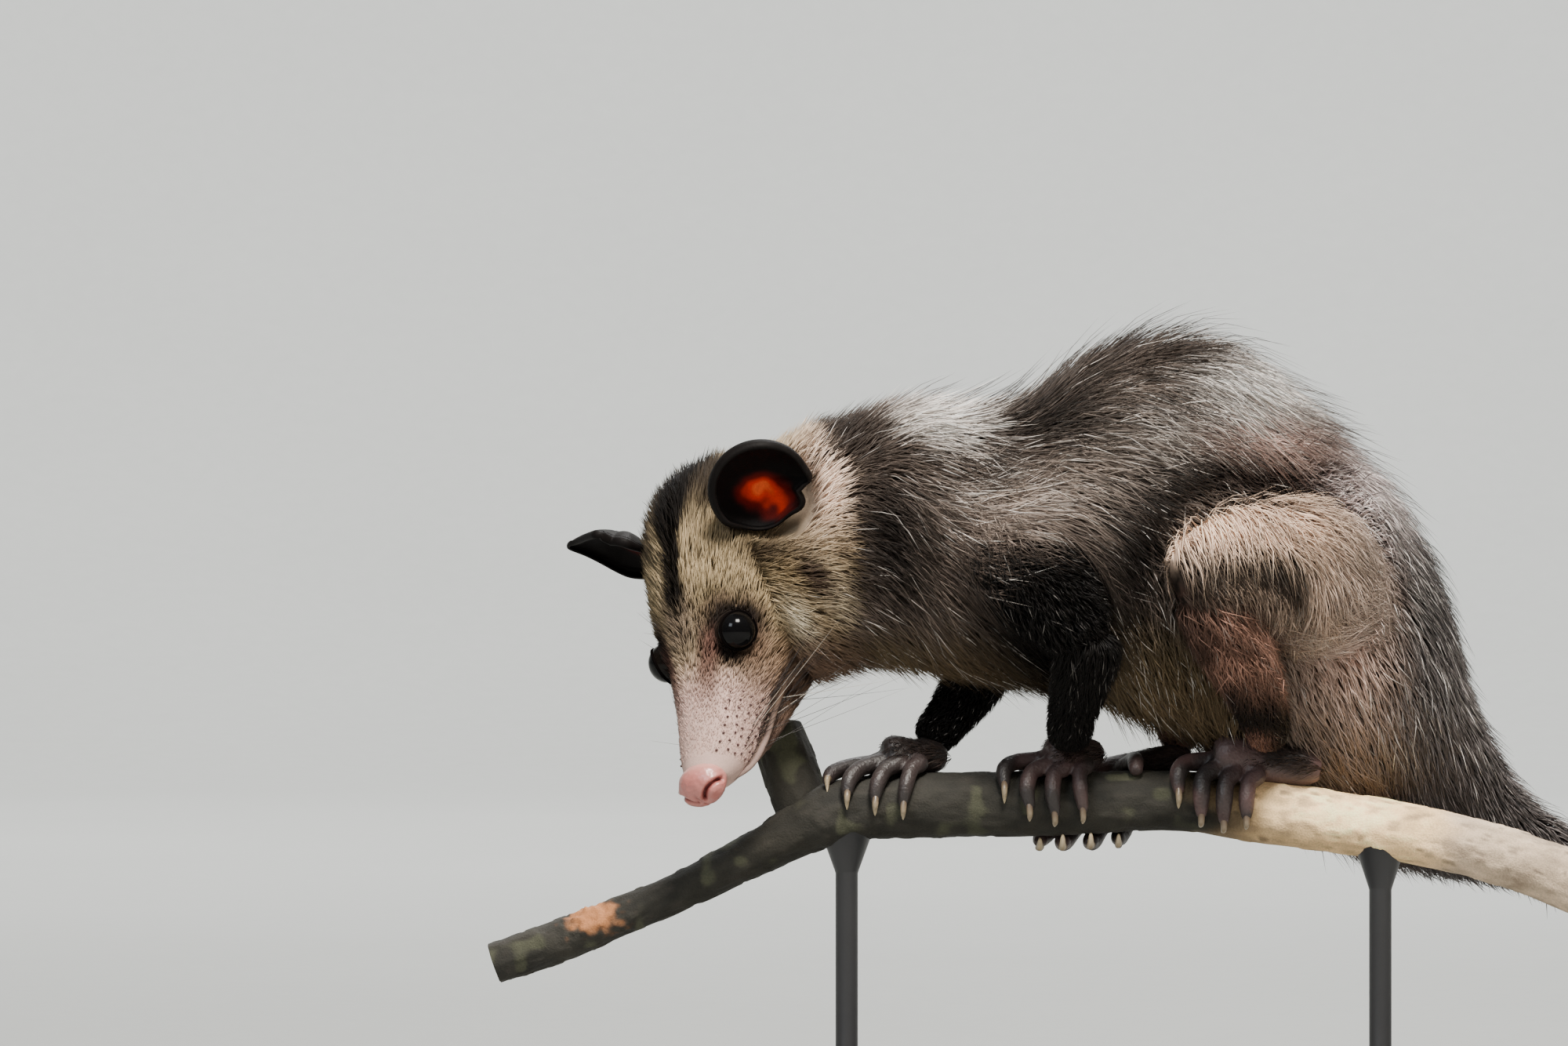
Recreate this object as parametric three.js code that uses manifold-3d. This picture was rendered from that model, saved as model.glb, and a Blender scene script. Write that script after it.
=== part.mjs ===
// A common opossum, crouched on a cut length of branch that a plain display stand holds up.
// Millimetres. X runs from the head to the tail, the animal's left side faces -Y, Z is up, and
// the origin is the middle of the underside of the stand's base.
import * as THREE from 'three';
import { mergeVertices } from 'three/addons/utils/BufferGeometryUtils.js';
import Module from 'manifold-3d';

const wasm = await Module();
wasm.setup();

// Driving dimensions
const GAP = 0.3; // left between neighbouring pieces
const PERCH_HEIGHT = 158; // middle of the branch above the floor
const BASE_LENGTH = 260;
const BASE_DEPTH = 150;
const BASE_THICK = 12;
const BASE_CORNER = 14;
const ROD_RADIUS = 4;
const ROD_X = [-112, 78];
const EYE_RADIUS = 6.6;
const EYE_SPREAD = 18.2; // half the distance between the eyes' centres
const EAR_HEIGHT = 38;
const EAR_WIDTH = 36;
const EAR_THICK = 1.3;
const COAT_CORE = 0.5; // share of the coat's depth, from the tips in, that the core leaves to the locks
const LOCK_SPACING = 18.3;
const LOCK_LENGTH = 40;
const LOCK_HALF_WIDTH = 9.2;
const LOCK_THICK = 2.4;
const LOCK_DROOP = 0.45; // radians that a lock on the flank turns down from the body's line

const add = (...vectors) => vectors.reduce((sum, v) => sum.add(v), new THREE.Vector3());
const vec = (x, y, z) => new THREE.Vector3(x, y, z);
const mix = THREE.MathUtils.lerp;

// A point given from the middle of the perch instead of from the floor
const overPerch = ([x, y, z]) => vec(x, y, z + PERCH_HEIGHT);

// Catmull-Rom value at place t of a list of rows of numbers, one row for each whole t
function rowAt(rows, t) {
  const last = rows.length - 1;
  const i = Math.min(Math.max(Math.floor(t), 0), last - 1);
  const s = t - i;
  const [a, b, c, d] = [i - 1, i, i + 1, i + 2].map((k) => rows[Math.min(Math.max(k, 0), last)]);
  return b.map((_, k) => {
    const slopeIn = (c[k] - a[k]) / 2;
    const slopeOut = (d[k] - b[k]) / 2;
    const s2 = s * s;
    const s3 = s2 * s;
    return b[k] * (2 * s3 - 3 * s2 + 1) + c[k] * (3 * s2 - 2 * s3)
      + slopeIn * (s3 - 2 * s2 + s) + slopeOut * (s3 - s2);
  });
}

// A round body along a line of stations. A station holds the section's middle, the directions of
// its height and its width, half its width and half its height out to the coat's tips, its egg
// shape (above 0 for wider at the top) and the coat's depth.
class Form {
  constructor(stations) {
    this.rows = stations.map((s) => [
      ...s.middle.toArray(), ...s.up.toArray(), ...s.side.toArray(),
      s.halfWidth, s.halfHeight, s.egg ?? 0, s.coat ?? 0,
    ]);
  }

  section(t) {
    const r = rowAt(this.rows, t);
    return {
      middle: vec(r[0], r[1], r[2]),
      up: vec(r[3], r[4], r[5]).normalize(),
      side: vec(r[6], r[7], r[8]).normalize(),
      halfWidth: r[9],
      halfHeight: r[10],
      egg: r[11],
      coat: r[12],
    };
  }

  // Point at place t and angle (0 to the side, a quarter turn up), inset from the coat's tips
  at(t, angle, inset) {
    const s = this.section(t);
    const sin = Math.sin(angle);
    const across = Math.cos(angle) * (s.halfWidth - inset) * (1 + s.egg * sin);
    return add(s.middle, s.side.multiplyScalar(across), s.up.multiplyScalar(sin * (s.halfHeight - inset)));
  }

  // Outward direction of the surface there, from two short steps along it
  normal(t, angle, inset) {
    const step = 0.02;
    const along = this.at(t + step, angle, inset).sub(this.at(t - step, angle, inset));
    const round = this.at(t, angle + step, inset).sub(this.at(t, angle - step, inset));
    const out = round.cross(along).normalize();
    const fromMiddle = this.at(t, angle, inset).sub(this.section(t).middle);
    return out.dot(fromMiddle) < 0 ? out.negate() : out;
  }

  // Whether a point is inside the form made larger by a margin
  holds(point, margin) {
    const steps = 24;
    const last = this.rows.length - 1;
    return counted(steps + 1, (i) => (i * last) / steps).some((t) => {
      const { middle, up, side, halfWidth, halfHeight } = this.section(t);
      const reach = this.section(t + 0.05).middle.distanceTo(middle) * 20 * (last / steps);
      const off = point.clone().sub(middle);
      const x = off.dot(side) / (halfWidth + margin);
      const y = off.dot(up) / (halfHeight + margin);
      return x * x + y * y < 1 && Math.abs(off.dot(up.cross(side))) < reach * 0.6;
    });
  }
}

// Closed solid through rings of points, each ring with as many points as the next, its two ends
// closed by fans on their middles
function loft(rings) {
  const sides = rings[0].length;
  const positions = [];
  const index = [];
  rings.flat().forEach((p) => positions.push(p.x, p.y, p.z));
  for (let i = 0; i < rings.length - 1; i += 1) {
    for (let k = 0; k < sides; k += 1) {
      const a = i * sides + k;
      const b = i * sides + ((k + 1) % sides);
      index.push(a, b, a + sides, b, b + sides, a + sides);
    }
  }
  [0, rings.length - 1].forEach((i) => {
    const middle = add(...rings[i]).divideScalar(sides);
    const at = positions.length / 3;
    positions.push(middle.x, middle.y, middle.z);
    for (let k = 0; k < sides; k += 1) {
      const a = i * sides + k;
      const b = i * sides + ((k + 1) % sides);
      index.push(...(i === 0 ? [at, b, a] : [at, a, b]));
    }
  });
  return solidOf(positions, index);
}

// Closed thin solid between two grids of points alike in size, split alike on both faces
function sheet(front, back) {
  const wide = front[0].length;
  const count = front.length * wide;
  const positions = [...front.flat(), ...back.flat()].flatMap((p) => p.toArray());
  const index = [];
  for (let j = 0; j < front.length - 1; j += 1) {
    for (let i = 0; i < wide - 1; i += 1) {
      const a = j * wide + i;
      const quad = [a, a + 1, a + wide, a + 1, a + wide + 1, a + wide];
      index.push(...quad, ...quad.map((k) => k + count).reverse());
    }
  }
  const edge = [
    ...counted(wide - 1, (i) => i), ...counted(front.length - 1, (j) => (j + 1) * wide - 1),
    ...counted(wide - 1, (i) => count - 1 - i),
    ...counted(front.length - 1, (j) => (front.length - 1 - j) * wide),
  ];
  edge.forEach((a, k) => {
    const b = edge[(k + 1) % edge.length];
    index.push(b, a, b + count, a, a + count, b + count);
  });
  return solidOf(positions, index);
}

// Manifold solid of a closed list of triangles, turned right side out
function solidOf(positions, index) {
  const p = (i) => vec(positions[3 * i], positions[3 * i + 1], positions[3 * i + 2]);
  let volume = 0;
  for (let i = 0; i < index.length; i += 3) {
    volume += p(index[i]).dot(p(index[i + 1]).cross(p(index[i + 2])));
  }
  const faces = volume < 0 ? [...index].reverse() : index;
  return new wasm.Manifold(new wasm.Mesh({
    numProp: 3,
    vertProperties: new Float32Array(positions),
    triVerts: new Uint32Array(faces),
  }));
}

function solidFromGeometry(geometry) {
  const bare = geometry.clone();
  bare.deleteAttribute('normal');
  bare.deleteAttribute('uv');
  const merged = mergeVertices(bare, 1e-4);
  return solidOf([...merged.attributes.position.array], [...merged.index.array]);
}

const join = (solids) => solids.reduce((sum, s) => sum.add(s));
const cut = (solid, tools) => tools.reduce((left, tool) => left.subtract(tool), solid);

function largest(solid) {
  return solid.decompose().reduce((best, piece) => (piece.volume() > best.volume() ? piece : best));
}

const counted = (count, make) => Array.from({ length: count }, (_, i) => make(i));

// Solid of a form between two places. The inset is a share of the coat's depth, and grow makes
// the solid that much larger all round.
function core(form, { from = 0, to = form.rows.length - 1, rings, sides, share = COAT_CORE, grow = 0 }) {
  return loft(counted(rings, (i) => {
    const t = mix(from, to, i / (rings - 1));
    const inset = form.section(t).coat * share - grow;
    const push = i === 0 ? -grow : i === rings - 1 ? grow : 0;
    const ahead = form.section(t + 0.02).middle.sub(form.section(t - 0.02).middle).setLength(push);
    return counted(sides, (k) => form.at(t, (2 * Math.PI * k) / sides, inset).add(ahead));
  }));
}

// Round bar along a smooth line through points, with a radius at each; its ends are flat
function bar(points, radii, { sides = 8, steps = 3, grow = 0, flat = 1 } = {}) {
  const rows = points.map((p, i) => [...p.toArray(), radii[i]]);
  const count = (points.length - 1) * steps + 1;
  const at = (t) => rowAt(rows, t);
  let side = null;
  return loft(counted(count, (i) => {
    const t = i / steps;
    const [x, y, z, radius] = at(t);
    const ahead = vec(...at(t + 0.02)).sub(vec(...at(t - 0.02))).normalize();
    const away = Math.abs(ahead.z) > 0.9 ? vec(1, 0, 0) : vec(0, 0, 1);
    side = (side ?? ahead.clone().cross(away)).clone();
    side.addScaledVector(ahead, -ahead.dot(side)).normalize();
    const up = side.clone().cross(ahead);
    const end = i === 0 ? -grow : i === count - 1 ? grow : 0;
    return counted(sides, (k) => {
      const angle = (2 * Math.PI * k) / sides;
      return add(
        vec(x, y, z), ahead.clone().multiplyScalar(end),
        side.clone().multiplyScalar(Math.cos(angle) * (radius + grow)),
        up.clone().multiplyScalar(Math.sin(angle) * (radius * flat + grow)),
      );
    });
  }));
}

function ball(middle, radii, { grow = 0, width = 16, height = 10, axes = new THREE.Matrix4() } = {}) {
  const geometry = new THREE.SphereGeometry(1, width, height);
  geometry.scale(radii[0] + grow, radii[1] + grow, radii[2] + grow);
  geometry.applyMatrix4(axes);
  geometry.translate(middle.x, middle.y, middle.z);
  return solidFromGeometry(geometry);
}

// Even random numbers from 0 to 1, the same at every run
function randomFrom(seed) {
  let state = seed;
  return () => {
    state = (state * 1664525 + 1013904223) % 4294967296;
    return state / 4294967296;
  };
}

// A lock's shape from root to tip: share of its length, height in the coat as a share of the
// depth (the skin is 1, the tips are 0), share of its width
const LOCK_SHAPE = [[0, 0.7, 0.7], [0.34, 0.42, 1], [0.7, 0.17, 0.74], [1, 0, 0]];

// Middle line of a lock that grows at t and angle and sweeps along the form, its tip drifting
// down the flanks
function lockLine(form, { t, angle, length, sweep, lift }) {
  const coat = Math.max(form.section(t).coat, 1);
  const here = form.at(t, angle, 0);
  const pace = form.at(t + 0.05, angle, 0).distanceTo(form.at(t - 0.05, angle, 0)) / 0.1;
  const turnPace = form.at(t, angle + 0.05, 0).distanceTo(here) / 0.05;
  return LOCK_SHAPE.map(([along, depth, wide], i) => {
    const place = t + (length * along * Math.cos(sweep)) / pace;
    const turned = angle + (length * along * Math.sin(sweep)) / turnPace;
    const inset = coat * depth + (i === 0 ? 1.6 : 0) - lift * along * along;
    return { middle: form.at(place, turned, inset), normal: form.normal(place, turned, 0), wide };
  });
}

// Flat tapered blade of three faces round that line
function lock(form, options, grow = 0) {
  const line = lockLine(form, options);
  const room = 2 * grow;
  const rings = line.map(({ middle, normal, wide }, i) => {
    const before = line[Math.max(i - 1, 0)].middle;
    const after = line[Math.min(i + 1, line.length - 1)].middle;
    const ahead = after.clone().sub(before).normalize();
    const side = normal.clone().cross(ahead).normalize();
    const reach = options.width * wide + 2 * room;
    const rise = LOCK_THICK * (wide > 0 ? 0.62 : 0) + room;
    const low = LOCK_THICK * (wide > 0 ? 0.38 : 0) + room;
    const end = middle.clone().addScaledVector(ahead, [-room, 0, 0, room][i]);
    return [
      end.clone().addScaledVector(side, -reach).addScaledVector(normal, -low),
      end.clone().addScaledVector(side, reach).addScaledVector(normal, -low),
      end.clone().addScaledVector(normal, rise),
    ];
  });
  return blade(rings, grow > 0);
}

// Closed solid of rings of three points; the last ring is one point unless it is blunt
function blade(rings, blunt) {
  const positions = [];
  const index = [0, 2, 1];
  const last = rings.length - 1;
  rings.forEach((ring, i) => {
    (i < last || blunt ? ring : [ring[0]]).forEach((p) => positions.push(p.x, p.y, p.z));
  });
  for (let i = 0; i < last; i += 1) {
    for (let k = 0; k < 3; k += 1) {
      const a = 3 * i + k;
      const b = 3 * i + ((k + 1) % 3);
      if (i < last - 1 || blunt) index.push(a, b, a + 3, b, b + 3, a + 3);
      else index.push(a, b, 3 * last);
    }
  }
  if (blunt) index.push(3 * last, 3 * last + 1, 3 * last + 2);
  return solidOf(positions, index);
}

// Locks spread evenly over a form between two places, none rooted in or lying through the forms
// that it must avoid
function coatOf(form, { from, to, seed, spacing = LOCK_SPACING, scale = 1, avoid, skip }) {
  const random = randomFrom(seed);
  const locks = [];
  const roots = [];
  for (let i = 0; i < 6000; i += 1) {
    const t = mix(from, to, random());
    const angle = 2 * Math.PI * random();
    const shade = [random(), random(), random(), random()];
    const root = form.at(t, angle, form.section(t).coat * COAT_CORE);
    const free = roots.every((other) => other.distanceTo(root) > spacing * mix(0.9, 1.06, shade[3]));
    if (free && !(skip && skip(t, angle, root))) {
      const depth = form.section(t).coat;
      const length = LOCK_LENGTH * scale * mix(0.86, 1.14, shade[0]) * Math.min(1, 0.35 + depth / 22);
      const options = {
        t,
        angle,
        length,
        width: LOCK_HALF_WIDTH * scale * mix(0.88, 1.12, shade[1]) * Math.min(1, 0.5 + depth / 30),
        sweep: -Math.cos(angle) * LOCK_DROOP + mix(-0.1, 0.1, shade[2]),
        lift: mix(-0.5, 1.5, shade[3]),
      };
      const blocked = ({ middle }) => avoid.some(([other, margin]) => other.holds(middle, margin));
      const clear = (line) => !line.some(blocked);
      if (clear(lockLine(form, options).slice(0, 2))) {
        while (options.length > 0.45 * length && !clear(lockLine(form, options))) options.length *= 0.85;
        if (clear(lockLine(form, options))) {
          roots.push(root);
          locks.push(options);
        }
      }
    }
  }
  return locks;
}

// Core of a furred piece with its locks joined on
function furred(form, size, locks, grow) {
  return join([
    core(form, { ...size, grow }),
    ...locks.filter(({ t }) => t >= size.from && t < size.to).map((options) => lock(form, options, grow)),
  ]);
}

// Branch: its middle line bends towards the viewer on the right and droops at both ends
const BRANCH_LINE = [
  [-238, 7, -57], [-216, 6, -49.5], [-194, 4, -41], [-165, 2, -28], [-142, 1, -16.5], [-120, 0, -4.5],
  [-98, 0, -0.5], [-59, 0, 0], [-22, 0, 0.8], [6, 0, 1.4], [36, -2, -2.5], [65, -6, -6.5],
  [93, -12, -11], [120, -18, -17.5], [146, -24, -27], [172, -30, -39],
];
const BRANCH_RADIUS = [7.2, 7.8, 7, 7.2, 8, 11, 11.6, 11.4, 10.9, 10.4, 11.2, 10.9, 10.4, 10.4, 10.6, 10.4];
const branchRows = BRANCH_LINE.map(([x, y, z], i) => [x, y, z + PERCH_HEIGHT, BRANCH_RADIUS[i]]);

// Place t of the branch whose middle has the given x
function branchPlace(x) {
  let low = 0;
  let high = branchRows.length - 1;
  for (let i = 0; i < 40; i += 1) {
    const t = (low + high) / 2;
    if (rowAt(branchRows, t)[0] < x) low = t;
    else high = t;
  }
  return low;
}

// Point at a height over the bark; angle 0 is on top, a quarter turn is the viewer's side
function onBranch(x, angle, height) {
  const t = branchPlace(x);
  const [, y, z, radius] = rowAt(branchRows, t);
  const r = radius + height;
  return vec(x, y - Math.sin(angle) * r, z + Math.cos(angle) * r);
}

function branch(grow = 0) {
  const points = BRANCH_LINE.map(overPerch);
  const stemLine = [[-126, 2, -8], [-131, 8, 8], [-137, 14, 26]].map(overPerch);
  const stem = bar(stemLine, [9, 10, 9.4], { sides: 10, steps: 1, grow });
  return bar(points, BRANCH_RADIUS, { sides: 12, steps: 1, grow }).add(stem);
}

// Trunk from the neck to the root of the tail: points of the back line and of the belly line,
// half the width, egg shape and the coat's depth
const TRUNK_LINE = [
  { back: [-153, -12, 112], belly: [-140, -8, 50], halfWidth: 24, coat: 6 },
  { back: [-136, -9, 133], belly: [-124, -6, 40], halfWidth: 33, coat: 9 },
  { back: [-116, -6, 142], belly: [-108, -3, 43], halfWidth: 37.5, coat: 11 },
  { back: [-92, -2, 150], belly: [-88, 0, 43], halfWidth: 41, coat: 14 },
  { back: [-69, 0, 149], belly: [-67, 0, 40], halfWidth: 43, coat: 15 },
  { back: [-48, 0, 152], belly: [-43, 1, 36], halfWidth: 45, coat: 15 },
  { back: [-26, 1, 166], belly: [-23, 2, 31], halfWidth: 47, coat: 16 },
  { back: [-1, 3, 174], belly: [-5, 5, 23], halfWidth: 50, coat: 18 },
  { back: [28, 5, 170], belly: [13, 10, 16], halfWidth: 51, coat: 20, egg: 0.05 },
  { back: [58, 8, 145], belly: [34, 20, 0], halfWidth: 49, coat: 20, egg: 0.12 },
  { back: [87, 12, 115], belly: [54, 29, -15], halfWidth: 44, coat: 18, egg: 0.18 },
  { back: [104, 16, 80], belly: [76, 32, -25], halfWidth: 36, coat: 16, egg: 0.16 },
  { back: [113, 19, 45], belly: [95, 32, -29], halfWidth: 28, coat: 13, egg: 0.1 },
  { back: [124, 21, 20], belly: [112, 31, -31], halfWidth: 21, coat: 10 },
  { back: [136, 22, 4], belly: [127, 29, -33], halfWidth: 16.5, coat: 8 },
  { back: [149, 22, -7], belly: [141, 26, -36], halfWidth: 12.5, coat: 5.5 },
  { back: [163, 20, -20], belly: [155, 22, -41], halfWidth: 9.6, coat: 2 },
];
const trunk = new Form(TRUNK_LINE.map(({ back, belly, ...rest }) => {
  const top = overPerch(back);
  const bottom = overPerch(belly);
  const up = top.clone().sub(bottom);
  const halfHeight = up.length() / 2;
  return { middle: top.add(bottom).divideScalar(2), up, side: vec(0, 1, 0), halfHeight, ...rest };
}));
// The places where the trunk is parted
const NECK_END = 2.5;
const CHEST_END = 6;
const RUMP_END = 12;
const TAIL_BASE_END = 16;

// A limb's form: stations of middle, half width across Y and half height in its own plane, with
// a rounded end put on at both ends
function limb(inner) {
  const roundEnd = (end, next) => {
    const share = 0.5;
    const reach = (share * end.halfWidth) / vec(...end.at).distanceTo(vec(...next.at));
    return {
      at: end.at.map((v, k) => v + (v - next.at[k]) * reach),
      halfWidth: end.halfWidth * share,
      halfHeight: end.halfHeight * share,
      coat: end.coat * share,
    };
  };
  const count = inner.length;
  const stations = [
    roundEnd(inner[0], inner[1]), ...inner, roundEnd(inner[count - 1], inner[count - 2]),
  ];
  return new Form(stations.map(({ at, ...rest }, i) => {
    const before = vec(...stations[Math.max(i - 1, 0)].at);
    const after = vec(...stations[Math.min(i + 1, stations.length - 1)].at);
    const ahead = after.sub(before).normalize();
    const side = vec(0, 1, 0).addScaledVector(ahead, -ahead.y).normalize();
    return { middle: overPerch(at), up: side.clone().cross(ahead), side, ...rest };
  }));
}

const thigh = {
  left: limb([
    { at: [70, 0, 62], halfWidth: 17, halfHeight: 24, coat: 9 },
    { at: [48, -22, 82], halfWidth: 24, halfHeight: 32, coat: 10 },
    { at: [24, -36, 86], halfWidth: 20, halfHeight: 27, coat: 9 },
    { at: [10, -42, 79], halfWidth: 14, halfHeight: 17, coat: 7 },
  ]),
  right: limb([
    { at: [66, 34, 58], halfWidth: 17, halfHeight: 24, coat: 9 },
    { at: [42, 46, 76], halfWidth: 23, halfHeight: 31, coat: 10 },
    { at: [12, 54, 76], halfWidth: 19, halfHeight: 25, coat: 9 },
    { at: [-8, 53, 66], halfWidth: 14, halfHeight: 16, coat: 7 },
  ]),
};
const shank = {
  left: limb([
    { at: [14, -41, 74], halfWidth: 12, halfHeight: 14, coat: 5 },
    { at: [24, -38, 58], halfWidth: 12.5, halfHeight: 15.5, coat: 6 },
    { at: [33, -28, 40], halfWidth: 10.5, halfHeight: 12, coat: 5 },
    { at: [38, -14, 25], halfWidth: 7.5, halfHeight: 8, coat: 2 },
  ]),
  right: limb([
    { at: [-6, 50, 64], halfWidth: 12, halfHeight: 13, coat: 5 },
    { at: [0, 44, 50], halfWidth: 11.5, halfHeight: 13, coat: 5 },
    { at: [6, 32, 35], halfWidth: 9.5, halfHeight: 10.5, coat: 4 },
    { at: [8, 21, 23], halfWidth: 7, halfHeight: 7.5, coat: 2 },
  ]),
};
const upperArm = {
  left: limb([
    { at: [-64, -20, 102], halfWidth: 15, halfHeight: 20, coat: 7 },
    { at: [-52, -31, 88], halfWidth: 18, halfHeight: 23, coat: 8 },
    { at: [-38, -37, 73], halfWidth: 15.5, halfHeight: 20, coat: 7 },
    { at: [-29, -37, 62], halfWidth: 12.5, halfHeight: 15, coat: 6 },
  ]),
  right: limb([
    { at: [-88, 20, 94], halfWidth: 15, halfHeight: 20, coat: 7 },
    { at: [-80, 29, 80], halfWidth: 17, halfHeight: 21, coat: 8 },
    { at: [-68, 34, 66], halfWidth: 14.5, halfHeight: 18, coat: 7 },
    { at: [-61, 34, 57], halfWidth: 11.5, halfHeight: 13, coat: 6 },
  ]),
};
const forearm = {
  left: limb([
    { at: [-27, -36, 58], halfWidth: 11, halfHeight: 13.5, coat: 4 },
    { at: [-29, -30, 46], halfWidth: 10.5, halfHeight: 12, coat: 4 },
    { at: [-32, -19, 33], halfWidth: 8.5, halfHeight: 9.5, coat: 2.5 },
    { at: [-33, -11, 24], halfWidth: 7, halfHeight: 8, coat: 1.5 },
  ]),
  right: limb([
    { at: [-60, 33, 53], halfWidth: 11, halfHeight: 12.5, coat: 4 },
    { at: [-66, 27, 43], halfWidth: 10.5, halfHeight: 12, coat: 4 },
    { at: [-75, 17, 31], halfWidth: 8.5, halfHeight: 9.5, coat: 2.5 },
    { at: [-81, 10, 24], halfWidth: 7, halfHeight: 8, coat: 1.5 },
  ]),
};

// Hands and feet: the palm or sole lies on the bark at x, and each digit lies along the bark from
// a knuckle to its tip, where a claw goes on. Angles are in degrees round the branch.
const paws = {
  hand_left: {
    palm: { x: [-24, -38], angle: [-4, 14], radius: [6.4, 7] },
    digits: [
      { x: [-37, -46, -49, -49], angle: [-30, -38, -58, -80], radius: [3.4, 3.2, 2.8, 2] },
      { x: [-43, -52, -56, -56], angle: [2, 12, 34, 58], radius: [3.6, 3.4, 3, 2.1] },
      { x: [-40, -46, -48, -47], angle: [24, 40, 66, 90], radius: [3.6, 3.4, 3, 2.1] },
      { x: [-34, -38, -39, -38], angle: [28, 46, 74, 100], radius: [3.6, 3.4, 3, 2.1] },
      { x: [-27, -29, -29, -28], angle: [22, 42, 70, 96], radius: [3.4, 3.2, 2.8, 2] },
    ],
  },
  hand_right: {
    palm: { x: [-80, -96], angle: [-14, 0], radius: [6.2, 6.8] },
    digits: [
      { x: [-95, -101, -103, -103], angle: [-34, -48, -70, -92], radius: [3.4, 3.2, 2.8, 2] },
      { x: [-102, -111, -117, -119], angle: [-14, -6, 6, 22], radius: [3.6, 3.4, 3, 2.1] },
      { x: [-100, -107, -111, -112], angle: [8, 22, 42, 62], radius: [3.6, 3.4, 3, 2.1] },
      { x: [-93, -98, -101, -102], angle: [16, 32, 54, 76], radius: [3.6, 3.4, 3, 2.1] },
      { x: [-86, -89, -91, -92], angle: [14, 34, 60, 84], radius: [3.4, 3.2, 2.8, 2] },
    ],
  },
  foot_left: {
    palm: { x: [51, 24], angle: [2, 14], radius: [7, 8] },
    digits: [
      { x: [31, 27, 25, 24], angle: [-34, -58, -86, -112], radius: [4.2, 4, 3.6, 3], bare: true },
      { x: [17, 9, 6, 6], angle: [6, 20, 46, 72], radius: [3.8, 3.6, 3.2, 2.2] },
      { x: [20, 15, 14, 14], angle: [28, 48, 78, 104], radius: [3.8, 3.6, 3.2, 2.2] },
      { x: [26, 23, 22, 22], angle: [32, 54, 82, 108], radius: [3.8, 3.6, 3.2, 2.2] },
      { x: [34, 31, 30, 30], angle: [30, 50, 76, 98], radius: [3.6, 3.4, 3, 2.1] },
    ],
  },
  foot_right: {
    palm: { x: [6, -18], angle: [-34, -66], radius: [6.8, 7.6] },
    digits: [
      { x: [-10, -9, -9, -9], angle: [-26, -4, 18, 36], radius: [3.6, 3.4, 3, 2.6], bare: true },
      { x: [-26, -35, -41, -43], angle: [-88, -112, -138, -160], radius: [4.2, 4, 3.6, 2.6] },
      { x: [-23, -30, -34, -35], angle: [-98, -126, -154, -180], radius: [4.2, 4, 3.6, 2.6] },
      { x: [-15, -21, -24, -25], angle: [-100, -128, -156, -182], radius: [4.2, 4, 3.6, 2.6] },
      { x: [-7, -11, -14, -15], angle: [-94, -120, -148, -172], radius: [4, 3.8, 3.4, 2.4] },
    ],
  },
};

// The palm swells from the wrist to the knuckles; its shares of length and of radius
const PALM_SHAPE = [[-0.22, 0.55], [0, 0.95], [0.5, 0.98], [1, 1.12], [1.2, 0.7]];

function paw({ palm, digits }, grow = 0) {
  const rise = 0.6;
  const turn = THREE.MathUtils.degToRad;
  const palmAt = (s) => onBranch(
    mix(...palm.x, s), turn(mix(...palm.angle, s)), mix(...palm.radius, s) * 0.82 + rise,
  );
  const sole = bar(
    PALM_SHAPE.map(([s]) => palmAt(s)),
    PALM_SHAPE.map(([s, share]) => mix(...palm.radius, s) * share),
    { sides: 8, steps: 1, flat: 0.8, grow },
  );
  const toes = digits.map(({ x, angle, radius, bare }) => {
    const line = x.map((place, i) => onBranch(place, turn(angle[i]), radius[i] + rise));
    const root = palmAt(1).lerp(line[0], 0.3);
    if (bare) {
      const tip = onBranch(mix(x[2], x[3], 1.6), turn(mix(angle[2], angle[3], 1.35)), radius[3] + rise);
      return bar([root, ...line, tip], [radius[0], ...radius, 1.2], { sides: 5, steps: 1, grow });
    }
    const last = mix(angle[2], angle[3], 1.9);
    const digit = bar([root, ...line], [radius[0], ...radius], { sides: 5, steps: 1, grow });
    const claw = bar([
      line[3].clone().lerp(line[2], 0.35),
      onBranch(x[3], turn(mix(angle[3], last, 0.45)), radius[3] + rise + 1.2),
      onBranch(x[3], turn(last), rise + 1.1),
    ], [radius[3] * 0.8, radius[3] * 0.62, 0.35], { sides: 4, steps: 1, grow });
    return digit.add(claw);
  });
  return join([sole, ...toes]);
}

// Head: its own axes point to the nose, to the animal's left and up through the brow, and its
// own zero is halfway between the eyes
const HEAD_AT = overPerch([-163.5, -22, 56.6]);
const NOSE_WARD = vec(0, -0.447, -0.894);
const LEFT_WARD = vec(0.68, -0.66, 0.33).normalize();
const BROW_WARD = NOSE_WARD.clone().cross(LEFT_WARD).normalize();
const headAxes = new THREE.Matrix4().makeBasis(NOSE_WARD, LEFT_WARD, BROW_WARD);
const onHead = (f, l, u) => vec(f, l, u).applyMatrix4(headAxes).add(HEAD_AT);

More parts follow.
